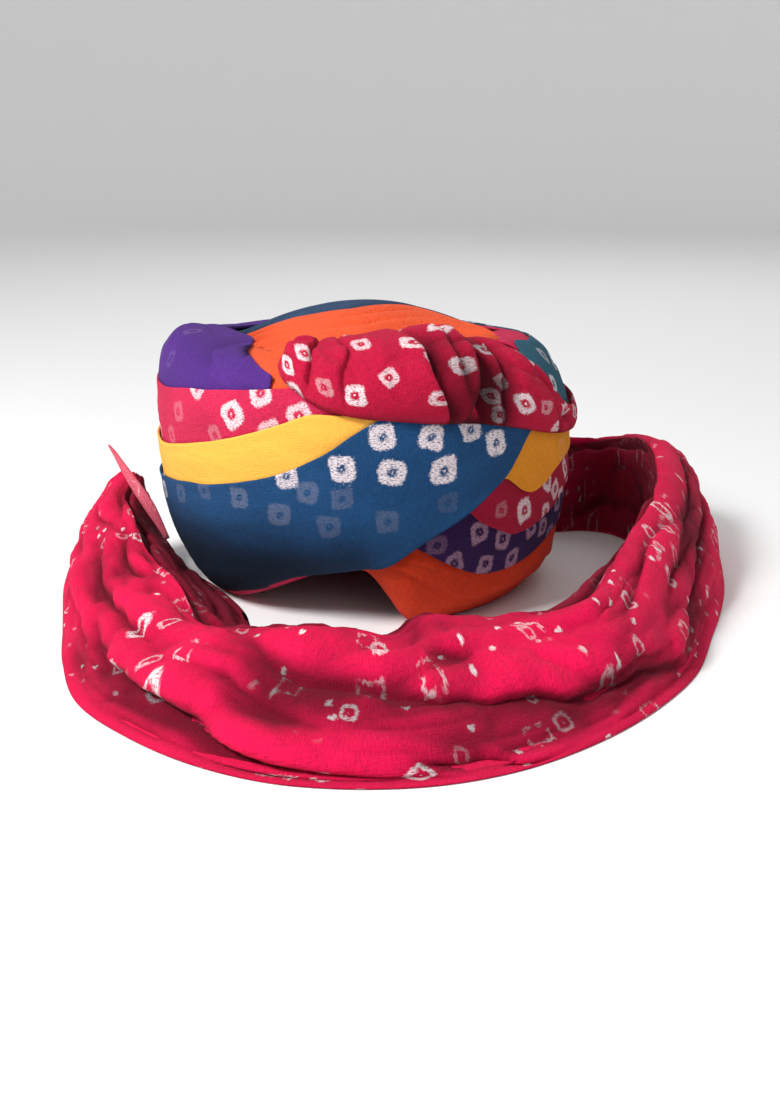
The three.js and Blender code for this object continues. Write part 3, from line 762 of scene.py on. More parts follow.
BLUE_DOTS = charted(BLUE_CHART) + scattered_dots(11, (-270, -150), (-60, 0), (28, 21), 6.4, 0.4, 0.8, 1.8)
CRIMSON_DOTS = charted(CRIMSON_CHART) + scattered_dots(12, (-350, -160), (12, 60), (30, 22), 6.4, 0.6, 0.85, 1.5)
PURPLE_DOTS = scattered_dots(13, (-440, -60), (60, 130), (32, 24), 6.0, 0.05, 0.6, 1.6)
PLUM_DOTS = charted(PLUM_CHART) + scattered_dots(14, (146, 370), (-78, -10), (24, 18), 6.0, 0.6, 0.85, 1.4)
SIDE_CRIMSON_DOTS = charted(SIDE_CRIMSON_CHART) + scattered_dots(
    15, (180, 420), (-60, 16), (28, 20), 6.2, 0.7, 0.85, 1.3)
TEAL_DOTS = charted(TEAL_CHART) + scattered_dots(16, (190, 600), (-70, 110), (29, 21), 6.6, 0.6, 0.9, 1.6)
SIDE_YELLOW_DOTS = scattered_dots(17, (150, 500), (-40, 40), (36, 24), 6.4, 0.12, 0.7)

# The pinch at the front left: turn, section angle, depth, breadth along and across
PINCH = [(-43, 92, 9, 9, 22), (-31, 76, 3, 8, 18)]

# The purple cloth swells at the upper left
PURPLE_SWELL = (-86, 74, -5, 26, 22)

plain = level(0.0)
shingle = level(SHINGLE)

MATERIALS = {
    "crimson_cloth": cloth_material("crimson_cloth", CRIMSON, heart=0.3),
    # Painted shade: a darker copy of the crimson cloth for the shaded right side
    "shaded_side_crimson_cloth": cloth_material("shaded_side_crimson_cloth", SHADED_SIDE_CRIMSON, heart=0.3),
    "roll_cloth": cloth_material("roll_cloth", ROLL_CRIMSON, heart=0.3),
    "yellow_cloth": cloth_material("yellow_cloth", YELLOW, dye=0.15, contrast=0.25, bump=0.5),
    "side_yellow_cloth": cloth_material(
        "side_yellow_cloth", SIDE_YELLOW, pale=PALE_WARM, heart=0.4, dye=0.3, contrast=0.4),
    "blue_cloth": cloth_material("blue_cloth", BLUE, heart=0.24),
    "teal_cloth": cloth_material("teal_cloth", TEAL, heart=0.28),
    "slate_cloth": cloth_material("slate_cloth", SLATE, heart=0.3),
    "purple_cloth": cloth_material("purple_cloth", PURPLE, heart=0.4),
    "plum_cloth": cloth_material("plum_cloth", PLUM, pale=PALE_PLUM, heart=0.3),
    "orange_cloth": cloth_material("orange_cloth", ORANGE, pale=PALE_WARM, dye=0.4),
    "crown_cloth": cloth_material("crown_cloth", CROWN_ORANGE, dye=0.3, contrast=0.4),
    "tail_cloth": cloth_material("tail_cloth", TAIL, heart=0.5, contrast=0.45, dye=0.8, breakup=0.5, flecks=0.9),
}


def dress(piece, node, material):
    """Gives a piece its cloth, hangs it from the root and hides the solid it stands for."""
    piece.data.materials.append(MATERIALS[material])
    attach(piece, "root")
    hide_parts(node)


def finish_sheet(piece, node, material):
    """Dresses a sheet."""
    dress(piece, node, material)


BANDS = [
    ("orange_front_cloth", "orange_front_wrap", "crown_cloth", edge(ORANGE_FRONT_LOW), level(INNER_ANGLE), (-52, 56),
     plain, plain, dict(folds=[(0.35, 1.6, 3, -60, 60), (0.65, 1.8, 3, -60, 60)], seed=21, hollows=PINCH)),
    ("purple_cloth_band", "purple_wrap", "purple_cloth", edge(CRIMSON_TOP, -TUCK), edge(PURPLE_TOP), (-196, -22),
     plain, shingle, dict(dots=PURPLE_DOTS, folds=[(0.45, 1.1, 3, -190, -80), (0.8, 1.2, 4, -190, -60)], seed=22,
                          edge_roll=0.9, hollows=PINCH + [PURPLE_SWELL], painted_shade=pinch_painted_shade)),
    ("crimson_cloth_band", "crimson_wrap", "crimson_cloth", edge(LEFT_YELLOW_TOP, -TUCK), edge(CRIMSON_TOP), (-152, 14),
     plain, shingle, dict(dots=CRIMSON_DOTS, folds=[(0.6, 1.0, 2.5, -150, -80)], seed=23)),
    ("yellow_cloth_band", "yellow_wrap", "yellow_cloth", edge(BLUE_TOP, -TUCK), edge(LEFT_YELLOW_TOP), (-144, 7),
     plain, shingle, dict(folds=[(0.5, 0.9, 2.5, -144, -84)], seed=24, ripple=0.25)),
    ("orange_side_cloth", "orange_side_wrap", "orange_cloth", level(RIM_ANGLE), edge(PLUM_BOTTOM, TUCK), (0, 146),
     shingle, plain, dict(folds=[(0.86, 1.0, 3, 20, 130)], seed=25, ripple=0.6,
                         steps=[(3.2, ORANGE_FOLD, ORANGE_COVER), (2.0, ORANGE_SECOND_FOLD, ORANGE_COVER)])),
    ("plum_side_cloth", "plum_side_wrap", "plum_cloth", edge(PLUM_BOTTOM), edge(SIDE_CRIMSON_BOTTOM, TUCK), (6, 159),
     shingle, plain, dict(dots=PLUM_DOTS, folds=[(0.5, 1.0, 3, 70, 155)], seed=26)),
    ("crimson_side_cloth", "crimson_side_wrap", "shaded_side_crimson_cloth", edge(SIDE_CRIMSON_BOTTOM),
     edge(SIDE_YELLOW_BOTTOM, TUCK), (16, 176),
     shingle, plain, dict(dots=SIDE_CRIMSON_DOTS, folds=[(0.5, 1.0, 3, 80, 170)], seed=27)),
    ("yellow_side_cloth", "yellow_side_wrap", "side_yellow_cloth", edge(SIDE_YELLOW_BOTTOM), edge(TEAL_BOTTOM, TUCK),
     (28, 212), shingle, plain, dict(dots=SIDE_YELLOW_DOTS, folds=[(0.5, 1.0, 2.5, 90, 205)], seed=28)),
    ("blue_cloth_band", "blue_wrap", "blue_cloth", blue_low, edge(BLUE_TOP), (-122, 60),
     blue_lift, blue_high_lift, dict(dots=BLUE_DOTS, seed=29, painted_shade=blue_painted_shade)),
    ("crimson_edge_cloth", "crimson_edge_wrap", "crimson_cloth", edge(TEAL_TOP, -TUCK), edge(SIDE_RIDGE_TOP), (62, 160),
     plain, level(1.5), dict(seed=30)),
    ("teal_top_cloth", "teal_top_wrap", "teal_cloth", edge(TEAL_BOTTOM), edge(TEAL_TOP), (52, 256),
     teal_lift, teal_lift, dict(dots=TEAL_DOTS, seed=31,
                                folds=[(0.3, 1.3, 3, 80, 250), (0.6, 1.5, 3, 70, 250), (0.84, 1.1, 2.5, 90, 250)])),
]

for name, node, material, low, high, span, lift_low, lift_high, more in BANDS:
    piece, flat_size = band(name, low, high, span, lift_low, lift_high, **more)
    finish_sheet(piece, node, material)


# The wound inner ring

RING_STEP = 2.0
OUTER_ROWS = 40
WALL_ROWS = 30
FOOT_ROWS = 5
SEAT_ROWS = 4
RING_SINK = 1.4
RING_CLOTH = 420


def wound_ring():
    """The closed section of the ring, carried all the way round."""
    turns = np.arange(0, 360, RING_STEP)
    radius = outline(turns) - BULGE
    angles = np.linspace(RIM_ANGLE, 90, OUTER_ROWS)
    columns = []
    for turn, inside in zip(turns, radius):
        floor = rim(turn)
        foot = np.linspace(inside - 2, inside + 10, FOOT_ROWS)
        base = at(np.full(FOOT_ROWS, turn), foot, np.full(FOOT_ROWS, floor))
        pinch = sum(d * np.exp(-(((turn - 360 - t) / w) ** 2) - ((angles - a) / h) ** 2) for t, a, d, w, h in PINCH)
        outer = on_ring(np.full(OUTER_ROWS, turn), angles, -RING_SINK - pinch)
        seat_radius = np.linspace(inside, inside - 4, SEAT_ROWS)
        seat = at(np.full(SEAT_ROWS, turn), seat_radius, np.full(SEAT_ROWS, SEAT_Z))
        z = np.linspace(SEAT_Z, floor, WALL_ROWS)[1:-1]
        wraps = 1.6 * np.abs(np.sin(np.radians(turn * 0.5) + z / 9.0)) + 0.6 * noise(z / 9.0, 0 * z + turn / 20.0, 41)
        wall = lerp(inside - 4, inside - 2, np.linspace(0, 1, WALL_ROWS)[1:-1])
        inner = at(np.full(len(z), turn), wall + wraps, z)
        columns.append(np.concatenate([base, outer, seat, inner]))
    points = np.array(columns)
    size = points.shape[1]
    u = np.repeat(np.radians(turns)[:, None] * MEAN_RADIUS, size, 1)
    v = np.repeat(np.linspace(0, RING_CLOTH, size)[None, :], len(turns), 0)
    faces = skin_faces(len(turns), size, closed=True)
    return build_mesh("wound_ring", points, faces, u, v, dot_fields(u, v, [], 42))


ring = wound_ring()
dress(ring, "head_ring", "crimson_cloth")


# The twisted roll across the upper front: turn, lower angle, upper angle, height
ROLL = [
    [-21, 66, 88, 2], [-19, 61, 92, 7], [-15, 56, 95, 10], [-9, 50, 98, 11], [-2, 46, 99, 12], [8, 44, 100, 14],
    [18, 42, 98, 20], [26, 41, 95, 18], [34, 38, 87, 14], [42, 34, 76, 13], [50, 29, 60, 10], [58, 25, 48, 7],
    [66, 22, 39, 4.4], [78, 20, 35, 2.2], [94, 24, 36, 1.4], [112, 30, 38, 1],
]
ROLL_SPAN = (-21, 112)
# Its folds: turn at the top, turn at the bottom, depth, breadth before, breadth after
ROLL_FOLDS = [
    [-16, -13, 5.0, 2, 8], [-11, -3, 4.0, 2, 8], [-3, 19, 11.0, 2.2, 24], [14, 25, 4.0, 2, 8], [21, 25, 16.0, 2.4, 18],
    [30, 34, 4.0, 2, 9], [30, 57, 11.0, 2.4, 18], [48, 66, 6.0, 2.2, 13], [58, 76, 4.0, 2.4, 11], [78, 88, 3.0, 3, 12],
    [94, 102, 2.0, 3, 12],
]
ROLL_OVERHANG = 0.5
ROLL_ROWS = 90
ROLL_UNDER_ROWS = 8
ROLL_STEP = 0.4
ROLL_LIFT = 3.4
ROLL_OVER_BANDS = 2.0
# Millimetres of cloth to a degree of turn
ROLL_DEGREE = 2.4
# Its dots: turn, section angle, half size, spin, strength
ROLL_CHART = [
    [-14, 66, 4.8, 30, 0.9], [-17, 62, 4.6, 20, 1.0], [-15, 56, 5.0, 40, 1.0], [0, 70, 5.4, 30, 0.8],
    [11, 66, 5.4, 10, 0.9],
    [6, 55, 4.8, 40, 0.8], [-1, 51, 5.6, 10, 1.0], [16, 47, 4.6, 0, 0.9], [20, 76, 5.6, 60, 0.9],
    [14, 60, 4.8, 30, 0.7],
    [22, 58, 5.4, 10, 0.9], [33, 68, 5.8, 10, 1.0], [35, 55, 5.0, 20, 0.8], [31, 50, 5.0, 20, 0.8],
    [40, 43, 6.2, 20, 1.0],
    [33, 42, 4.8, 0, 0.9], [54, 29, 5.2, 0, 0.9], [47, 39, 4.8, 0, 0.4], [-8, 54, 4.6, 20, 0.35],
    [62, 36, 5.4, 20, 0.8],
    [72, 30, 5.4, 20, 0.8], [84, 36, 5.4, 0, 0.8], [-4, 86, 5.0, 0, 0.6], [12, 90, 5.2, 20, 0.7],
    [30, 84, 5.2, 20, 0.7],
    [46, 60, 5.2, 10, 0.8],
]


def roll_surface(turns):
    """The roll's face and underside at some turns, and the face's measures and folds."""
    low = along(ROLL, turns, 1)[:, None]
    high = along(ROLL, turns, 2)[:, None]
    tall = along(ROLL, turns, 3)[:, None]
    share = np.linspace(0, 1, ROLL_ROWS)[None, :]
    turn = np.repeat(turns[:, None], ROLL_ROWS, 1)
    profile = np.sqrt(np.maximum(0.0, 1 - (2 * share - 1) ** 2))
    relief = 0 * turn
    shift = 0 * turn
    arc = np.radians(turn) * MEAN_RADIUS
    for top_turn, bottom_turn, depth, before, after in ROLL_FOLDS:
        bow = 2.5 * np.sin(np.pi * share) + 1.2 * noise(share * 5, 0 * share + top_turn, 50)
        away = (turn - lerp(bottom_turn, top_turn, share) - bow) * ROLL_DEGREE
        side = np.where(away < 0, before, after)
        relief -= depth * np.exp(-((np.abs(away) / side) ** 1.1))
        lip = np.exp(-(((away + 1.6 * before) / (1.5 * before)) ** 2))
        relief += 0.16 * depth * lip
        shift += ROLL_OVERHANG * depth * lip
    gather = np.exp(-((turn + 21) / 7.0) ** 2)
    relief += 3.0 * gather * np.abs(np.sin(np.pi * 4 * share))
    relief += 1.3 * noise(arc / 11.0 + 3 * share, share * 6, 51) + 0.5 * noise(arc / 4.5, share * 14, 52)
    relief += 1.6 * ridged(arc / 15.0 + 2.5 * share, share * 5, 53)
    height = profile * (tall + relief * smooth(tall / 8.0))
    angle = low + (high - low) * share
    lift = ROLL_LIFT + ROLL_OVER_BANDS * smooth((turn + 15) / 15)
    face = on_ring(turn + profile * shift / ROLL_DEGREE, angle, lift + CLOTH + height)
    under_share = np.linspace(1, 0, ROLL_UNDER_ROWS + 2)[1:-1][None, :]
    under_turn = np.repeat(turns[:, None], ROLL_UNDER_ROWS, 1)
    under = on_ring(under_turn, low + (high - low) * under_share, lift[:, :1])
    return np.concatenate([face, under], 1), arc, share, low, high, relief


def twisted_roll():
    """The roll as one closed form. Its folds come from ROLL_FOLDS and noise, with no simulation."""
    turns = np.arange(ROLL_SPAN[0], ROLL_SPAN[1], ROLL_STEP)
    points, arc, share, low, high, relief = roll_surface(turns)
    size = points.shape[1]
    step = np.linalg.norm(np.diff(points[:, :ROLL_ROWS], axis=1), axis=2)
    up = np.concatenate([np.zeros((len(turns), 1)), np.cumsum(step, axis=1)], 1)
    all_v = np.concatenate([up, np.repeat(up[:, -1:], size - ROLL_ROWS, 1)], 1)
    all_u = np.repeat(arc[:, :1], size, 1)
    dots = []
    for turn_at, angle_at, half, spin, power in ROLL_CHART:
        column = int(np.argmin(np.abs(turns - turn_at)))
        across = (angle_at - low[column, 0]) / (high[column, 0] - low[column, 0])
        dots.append((arc[column, 0], np.interp(across, share[0], up[column]), half, spin, power))
    fields = dot_fields(all_u, all_v, dots, 54)
    # Painted shade: the roll's colour is darkened down in its fold valleys
    fields["painted_shade"] = np.zeros(all_u.shape)
    fields["painted_shade"][:, :ROLL_ROWS] = 0.85 * smooth((-relief - 3) / 8)
    return build_mesh("twisted_roll", points, capped_faces(len(turns), size), all_u, all_v, fields)


roll = twisted_roll()
dress(roll, "front_twist", "roll_cloth")


# The crown's pleated cloths, pinched at the front left and the right, over a dome
CROWN_HALF_WIDTH = 84.0
CROWN_HALF_DEPTH = 96.0
CROWN_RISE = 25.0
CROWN_SHOULDER = 155.5
CROWN_EASE = 2.5
# How the cloths lie from the left pinch to the right one: share of the way, x and y of each edge
CROWN_FRONT_EDGE = [
    [0, -68, -72], [0.12, -56, -88], [0.3, -28, -102], [0.5, 8, -104], [0.7, 42, -92], [0.88, 70, -62], [1, 82, -36],
]
CROWN_FOLD_EDGE = [
    [0, -70, -60], [0.08, -72, -34], [0.18, -62, -10], [0.3, -46, -5], [0.42, -28, -10], [0.52, -12, -10],
    [0.62, 8, 4], [0.74, 36, 26], [0.88, 70, 10], [1, 84, -28],
]
CROWN_BACK_EDGE = [
    [0, -72, -56], [0.1, -88, -22], [0.25, -83, 34], [0.4, -47, 86], [0.52, 0, 101], [0.64, 44, 86], [0.8, 82, 36],
    [0.92, 87, -6], [1, 86, -24],
]
# Where the cloths dip into the pinch: x, y, depth, breadth
CROWN_DIP = (-70, -70, 7.0, 20.0)
CROWN_SINK = 1.0
CROWN_SINK_FROM = 78.0
CROWN_PLEATS = 6
CROWN_COLUMNS = 150
CROWN_ROWS = 90
CROWN_THICK = 1.3
# Millimetres of cloth along and across
CROWN_MAP = (190, 100)


def crown_dome(x, y):
    rest = np.minimum(1.0, (x / CROWN_HALF_WIDTH) ** 2 + (y / CROWN_HALF_DEPTH) ** 2)
    return SEAT_Z + 1.0 + CROWN_RISE * (1 - rest)


def over_the_ring(x, y):
    """The dome, with the cloth carried taut across the gap to the ring's top."""
    dome = crown_dome(x, y)
    dip_x, dip_y, depth, breadth = CROWN_DIP
    dip = depth * np.exp(-((x - dip_x) ** 2 + (y - dip_y) ** 2) / breadth**2)
    dip = dip + CROWN_SINK * smooth((np.abs(x) - CROWN_SINK_FROM) / 12)
    return CROWN_SHOULDER + CROWN_EASE * np.logaddexp(0, (dome - CROWN_SHOULDER) / CROWN_EASE) - dip


def crown_cloth(name, node, material, near_edge, far_edge, height, pleat_height, seed):
    """A pleated cloth between two edges of the crown, laid at a height."""
    t = np.linspace(0, 1, CROWN_COLUMNS)[:, None] + np.zeros((1, CROWN_ROWS))
    s = np.linspace(0, 1, CROWN_ROWS)[None, :] + np.zeros((CROWN_COLUMNS, 1))
    x, y = (lerp(along(near_edge, t, c), along(far_edge, t, c), s) for c in (1, 2))
    fan = smooth(np.minimum(t, 1 - t) / 0.12)
    wave = CROWN_PLEATS * s + 0.3 * noise(t * 3, s * 3, seed)
    pleat = pleat_height * fan * (np.abs(np.sin(np.pi * wave)) ** 0.6 - 0.6)
    fine = 0.5 * ridged(t * 5, s * 14, seed + 1) + 0.4 * noise(t * 6, s * 9, seed + 2)
    z = height(x, y) + pleat + fine * fan
    over = np.stack([x, y, z], -1)
    under = np.stack([x, y, z - CROWN_THICK], -1)
    points = np.concatenate([over, under[:, ::-1]], 1)
    u = np.concatenate([t, t], 1) * CROWN_MAP[0]
    v = np.concatenate([s, s[:, ::-1]], 1) * CROWN_MAP[1]
    faces = capped_faces(CROWN_COLUMNS, points.shape[1])
    piece = build_mesh(name, points, faces, u, v, dot_fields(u, v, [], seed))
    finish_sheet(piece, node, material)


def slate_height(x, y):
    share = smooth((y + 30) / 60)
    return lerp(over_the_ring(x, y), crown_dome(x, y) + 1.0, share)


crown_cloth("crown_orange_cloth", "crown_orange", "crown_cloth", CROWN_FRONT_EDGE, CROWN_FOLD_EDGE,
            over_the_ring, 4.4, 61)
crown_cloth("crown_slate_cloth", "crown_slate", "slate_cloth", CROWN_FOLD_EDGE, CROWN_BACK_EDGE, slate_height, 3.6, 65)


# The tail: x, y, reach to the inner foot, reach to the outer foot, height, crest, fullness outside and inside
TAIL_TABLE = [
    [86, 74, 12, 12, 6, 0, 2, 2],
    [97, 85, 16, 16, 16, 0, 2, 2],
    [109, 95, 22, 22, 39, 0, 1.8, 2],
    [126, 108, 26, 27, 60, 0, 1.7, 2],
    [156, 113, 27, 30, 65, -6, 1.6, 2.2],
    [186, 97, 25, 32, 72, -12, 2.1, 2.4],
    [203, 62, 23, 31, 76, -20, 2.3, 2.6],
    [208, 20, 22, 25, 74, -22, 2.1, 3],
    [204, -28, 22, 23, 71, -22, 1.9, 3],
    [193, -72, 22, 24, 68, -22, 1.7, 3],
    [174, -120, 24, 28, 62, -22, 1.5, 3],
    [148, -168, 30, 38, 56, -14, 1.4, 2.4],
    [118, -208, 38, 44, 49, -4, 1.6, 1.8],
    [86, -238, 46, 50, 46, -28, 1.4, 2],
    [52, -258, 54, 57, 48, -44, 1.3, 2.4],
    [18, -268, 50, 60, 47, -20, 1.4, 2],
    [-14, -267, 50, 60, 47, -30, 1.4, 2.2],
    [-46, -256, 50, 56, 46, -28, 1.4, 2.2],
    [-76, -236, 48, 50, 42, -20, 1.5, 2],
    [-102, -206, 56, 47, 35, -22, 1.5, 1.4],
    [-118, -162, 61, 45, 42, -20, 1.6, 1.05],
    [-128, -112, 62, 45, 50, -5, 1.7, 0.95],
    [-138, -62, 53, 45, 55, 0, 1.8, 0.9],
    [-148, -18, 38, 42, 58, 3, 1.9, 0.95],
    [-156, 16, 28, 32, 66, -6, 2, 1.1],
]
TAIL_WALL = 1.6
TAIL_SPARE = 6.0
TAIL_THIN_FROM = 23.2
TAIL_HELD = 24
HEM_FROM = 22.6
HEM_WAVE = 7.0
TAIL_SIDES = 160
TAIL_STEP = 0.05
INNER_EVERY = 4
# Its creases: depth, breadth above and below in degrees, then a station and an angle for each bend
TAIL_CREASES = [
    (11.7, 4, 16, [[14.4, 7], [15.2, 12], [16.0, 18], [16.9, 27], [17.6, 38], [18.6, 42], [20.2, 36]]),
    (7.8, 6, 14, [[14.6, 62], [15.7, 59], [17.0, 70], [18.0, 86]]),
    (5.9, 4, 9, [[13.7, 63], [14.5, 68]]),
    (9.1, 4, 13, [[11.0, 20], [12.2, 36], [13.0, 40], [13.4, 44], [14.0, 46], [15.4, 58]]),
    (6.5, 3, 9, [[11.1, 30], [12.0, 42], [12.7, 46], [13.1, 58]]),
    (6.5, 4, 8, [[20.4, 74], [21.5, 76]]),
    (6.5, 3, 7, [[13.2, 2], [13.9, 9], [14.1, 15], [15.0, 20]]),
    (10.4, 8, 20, [[5.6, 66], [8.5, 68], [10.0, 54], [11.0, 44]]),
    (6.5, 4, 12, [[7.2, 38], [8.6, 46], [10.0, 34], [11.4, 18]]),
    (6.5, 4, 10, [[4.4, 60], [6.2, 44], [7.6, 28]]),
    (6.5, 5, 14, [[3.4, 108], [5.2, 126], [6.8, 114]]),
    (6.5, 5, 14, [[8.8, 96], [10.4, 112], [12.0, 98]]),
    (6.5, 5, 10, [[18.4, 68], [19.6, 58], [20.8, 52], [22.0, 60]]),
    (5.9, 4, 9, [[19.4, 22], [20.6, 30], [22.0, 24], [23.6, 34]]),
    (7.8, 6, 12, [[20.8, 102], [22.0, 116], [23.2, 108], [24.0, 118]]),
    (6.5, 4, 10, [[21.6, 76], [22.8, 64], [24.0, 72]]),
    (5.9, 4, 9, [[17.4, 106], [18.6, 120], [19.8, 110]]),
    (5.2, 4, 9, [[12.8, 98], [14.6, 112], [16.2, 102], [17.6, 110]]),
    (4.5, 4, 8, [[8.4, 84], [10.6, 74], [12.4, 70], [13.4, 60]]),
    (3.9, 3, 8, [[15.8, 34], [16.8, 48], [18.0, 58], [19.0, 56]]),
]
TAIL_LOOSE = 1.2
# Painted shade on the tail's inner slope, which faces away from the key light
INNER_SLOPE_PAINTED_SHADE = 0.6
TAIL_SLIP = 0.75
# Its dots: station, angle round the section, half size, spin, strength
TAIL_CHART = [
    [19.4, 30, 7.0, 10, 1.0], [18.2, 20, 7.0, 20, 1.0], [19.1, 20, 4.0, 20, 0.8], [21.4, 44, 5.5, 0, 0.9],
    [20.9, 68, 5.0, 20, 0.8],
    [20.4, 82, 5.0, 20, 0.7], [15.8, 7, 5.2, 45, 1.0], [14.9, 7, 5.0, 45, 1.0], [15.6, 22, 4.0, 0, 0.9],
    [15.2, 38, 4.6, 0, 0.8],
    [16.6, 58, 5.0, 0, 0.7], [14.0, 74, 4.6, 0, 0.9], [13.6, 78, 6.0, 0, 0.9], [13.2, 70, 5.6, 10, 1.0],
    [13.0, 64, 4.0, 0, 0.9],
    [21.7, 130, 5.5, 0, 0.7], [21.4, 146, 6.0, 0, 0.8], [20.8, 152, 7.0, 0, 0.8], [19.1, 36, 4.0, 0, 0.6],
    [17.8, 46, 5.0, 0, 0.6],
    [16.7, 86, 5.5, 0, 0.6], [15.7, 80, 4.4, 0, 0.5], [12.4, 86, 5.0, 0, 0.7], [12.4, 48, 4.6, 0, 0.7],
    [11.4, 52, 5.0, 0, 0.8],
    [10.2, 62, 4.6, 0, 0.7], [7.8, 58, 3.0, 0, 0.6], [6.5, 58, 3.4, 0, 0.6], [10.3, 26, 4.6, 0, 0.8],
    [11.4, 32, 5.0, 0, 0.8],
    [16.9, 46, 4.0, 0, 0.5], [13.2, 12, 5.0, 0, 0.6], [12.4, 20, 4.6, 0, 0.6], [9.3, 40, 5.0, 0, 0.8],
    [6.1, 76, 3.2, 0, 0.6],
]
TAIL_FLECKS = 70


def catmull(points, s):
    """A smooth curve through points, at stations s."""
    count = len(points)
    padded = np.concatenate([[2 * points[0] - points[1]], points, [2 * points[-1] - points[-2]]])
    i = np.clip(np.floor(s).astype(int), 0, count - 2)
    t = (s - i)[:, None]
    p0, p1, p2, p3 = (padded[i + k] for k in range(4))
    first, second, third = p2 - p0, 2 * p0 - 5 * p1 + 4 * p2 - p3, 3 * p1 - p0 - 3 * p2 + p3
    value = 0.5 * (2 * p1 + first * t + second * t**2 + third * t**3)
    slope = 0.5 * (first + 2 * second * t + 3 * third * t**2)
    return value, slope


def tail_surface(step=TAIL_STEP, sides=TAIL_SIDES, loose=1.0, creased=True):
    """The tail's outer surface, and at each point its place along and round the cloth, its station and its relief."""
    table = np.array(TAIL_TABLE, float)
    stations = np.linspace(0, len(table) - 1, int(round((len(table) - 1) / step)) + 1)
    middle, heading = catmull(table[:, :2], stations)
    heading /= np.linalg.norm(heading, axis=1)[:, None]
    outward_way = np.stack([-heading[:, 1], heading[:, 0]], -1)
    numbered = np.concatenate([np.arange(len(table))[:, None], table], 1)
    inside, outside, height, crest, full_out, full_in = (along(numbered, stations, c)[:, None] for c in range(3, 9))
    angle = (360 * (np.arange(sides) + 0.5) / sides)[None, :] + 0 * inside
    below = angle > 180
    run = stations[:, None] + 0 * angle
    travelled = np.concatenate([[0], np.cumsum(np.linalg.norm(np.diff(middle, axis=0), axis=1))])[:, None] + 0 * angle
    relief = 0 * angle
    slip = 0 * angle
    for depth, above, beneath, line in TAIL_CREASES if creased else ():
        first, last = line[0][0], line[-1][0]
        t = np.clip((run - first) / (last - first), 0, 1)
        press = np.sin(np.pi * t) ** 0.7 * (run > first) * (run < last)
        away = angle - along(line, run) - 2 * noise(travelled / 12.0, 0 * angle, 70)
        side = np.where(away > 0, above, beneath)
        groove = np.exp(-((np.abs(away) / side) ** 0.95))
        lip = np.exp(-(((away - 1.5 * above) / (1.2 * above)) ** 2))
        relief += depth * press * (0.45 * lip - groove)
        slip += TAIL_SLIP * depth * press * np.exp(-(((away - above) / above) ** 2))
    leant = np.where(below, angle, np.maximum(angle - slip * smooth(angle / 20.0), 0.3))
    c, h = np.cos(np.radians(leant)), np.maximum(0, np.sin(np.radians(leant)))
    full = np.where(c > 0, full_out, full_in)
    reach = np.where(c > 0, outside - crest, inside + crest)
    up = height * h ** (2 / full)
    across = crest + np.sign(c) * reach * np.abs(c) ** (2 / full)
    across = np.where(below, lerp(-inside, outside, (angle - 180) / 180), across)
    body = (angle / 180) * (inside + outside + height)
    relief += 2.0 * noise(travelled / 60.0, body / 24.0, 71) + 0.8 * noise(travelled / 24.0, body / 12.0, 72)
    relief += 3.2 * ridged(travelled / 110.0 + body / 70.0, body / 19.0, 73)
    relief += 2.5 * ridged(travelled / 60.0 - body / 50.0, body / 10.0, 74)
    relief += 1.5 * ridged(travelled / 26.0 + body / 30.0, body / 5.0, 76)
    relief += 0.3 * noise(travelled / 5.0, body / 4.0, 75)
    relief += 7.0 * np.exp(-(((angle - 114) / 13.0) ** 2)) * smooth((run - 22.9) / 0.8)
    relief *= smooth(np.minimum(angle, 180 - angle) / 14.0) * smooth(run / 3.0) * (~below)
    relief = np.clip(relief, -0.4 * height, 8.0)
    middle_across = (outside - inside) / 2
    lean = np.arctan2(up + 0.35 * height, (across - middle_across) * height / ((inside + outside) / 2))
    across = across + relief * np.cos(lean)
    up = up + relief * np.sin(lean)
    across = middle_across + (across - middle_across) * loose
    up = np.maximum(0.0, up) * loose
    x = middle[:, :1] + outward_way[:, :1] * across
    y = middle[:, 1:] + outward_way[:, 1:] * across
    return np.stack([x, y, up], -1), travelled, body, run, relief


# The rolled corner of the free end that stands out: x, y, z, radius
SPIKE = [
    [-121, -42, 32, 1.2], [-131, -38, 50, 2.8], [-141, -28, 61, 2.9], [-151, -12, 69, 2.6], [-158, 0, 75, 1.9],
    [-163.5, 7, 80, 0.6],
]
SPIKE_SIDES = 14
SPIKE_PALE = 0.18
SPIKE_RINGS = 30


def spike():
    """Points and faces of the rolled corner, closed at its tip."""
    rows = np.array(SPIKE, float)
    along_it = np.linspace(0, len(rows) - 1, SPIKE_RINGS)
    middle, heading = catmull(rows[:, :3], along_it)
    radius = np.interp(along_it, np.arange(len(rows)), rows[:, 3])[:, None]
    heading /= np.linalg.norm(heading, axis=1)[:, None]
    side = np.cross(heading, [0.0, 1.0, 0.0])
    side /= np.linalg.norm(side, axis=1)[:, None]
    front = np.cross(heading, side)
    a = (2 * np.pi * np.arange(SPIKE_SIDES) / SPIKE_SIDES)[None, :]
    reach = radius * (1 + 0.25 * np.sin(2 * a + along_it[:, None]) + 0.1 * np.sin(5 * a))
    sideways = side[:, None] * (reach * np.cos(a))[..., None]
    points = middle[:, None] + sideways + front[:, None] * (reach * np.sin(a))[..., None]
    return points.reshape(-1, 3), capped_faces(SPIKE_RINGS, SPIKE_SIDES)


def tail_dots(stations, travelled, wide):
    """The charted dots and the scattered flecks, as places along and across the cloth."""
    dots = []
    for station, angle, half, spin, power in TAIL_CHART:
        across = angle / 180 * np.interp(station, stations, wide)
        dots.append((np.interp(station, stations, travelled), across, half, spin, power))
    rng = np.random.default_rng(81)
    for _ in range(TAIL_FLECKS):
        half = rng.uniform(2.2, 4.2)
        dots.append((rng.uniform(20, 1160), rng.uniform(6, 150), half, rng.uniform(0, 90), rng.uniform(0.3, 0.9)))
    return dots


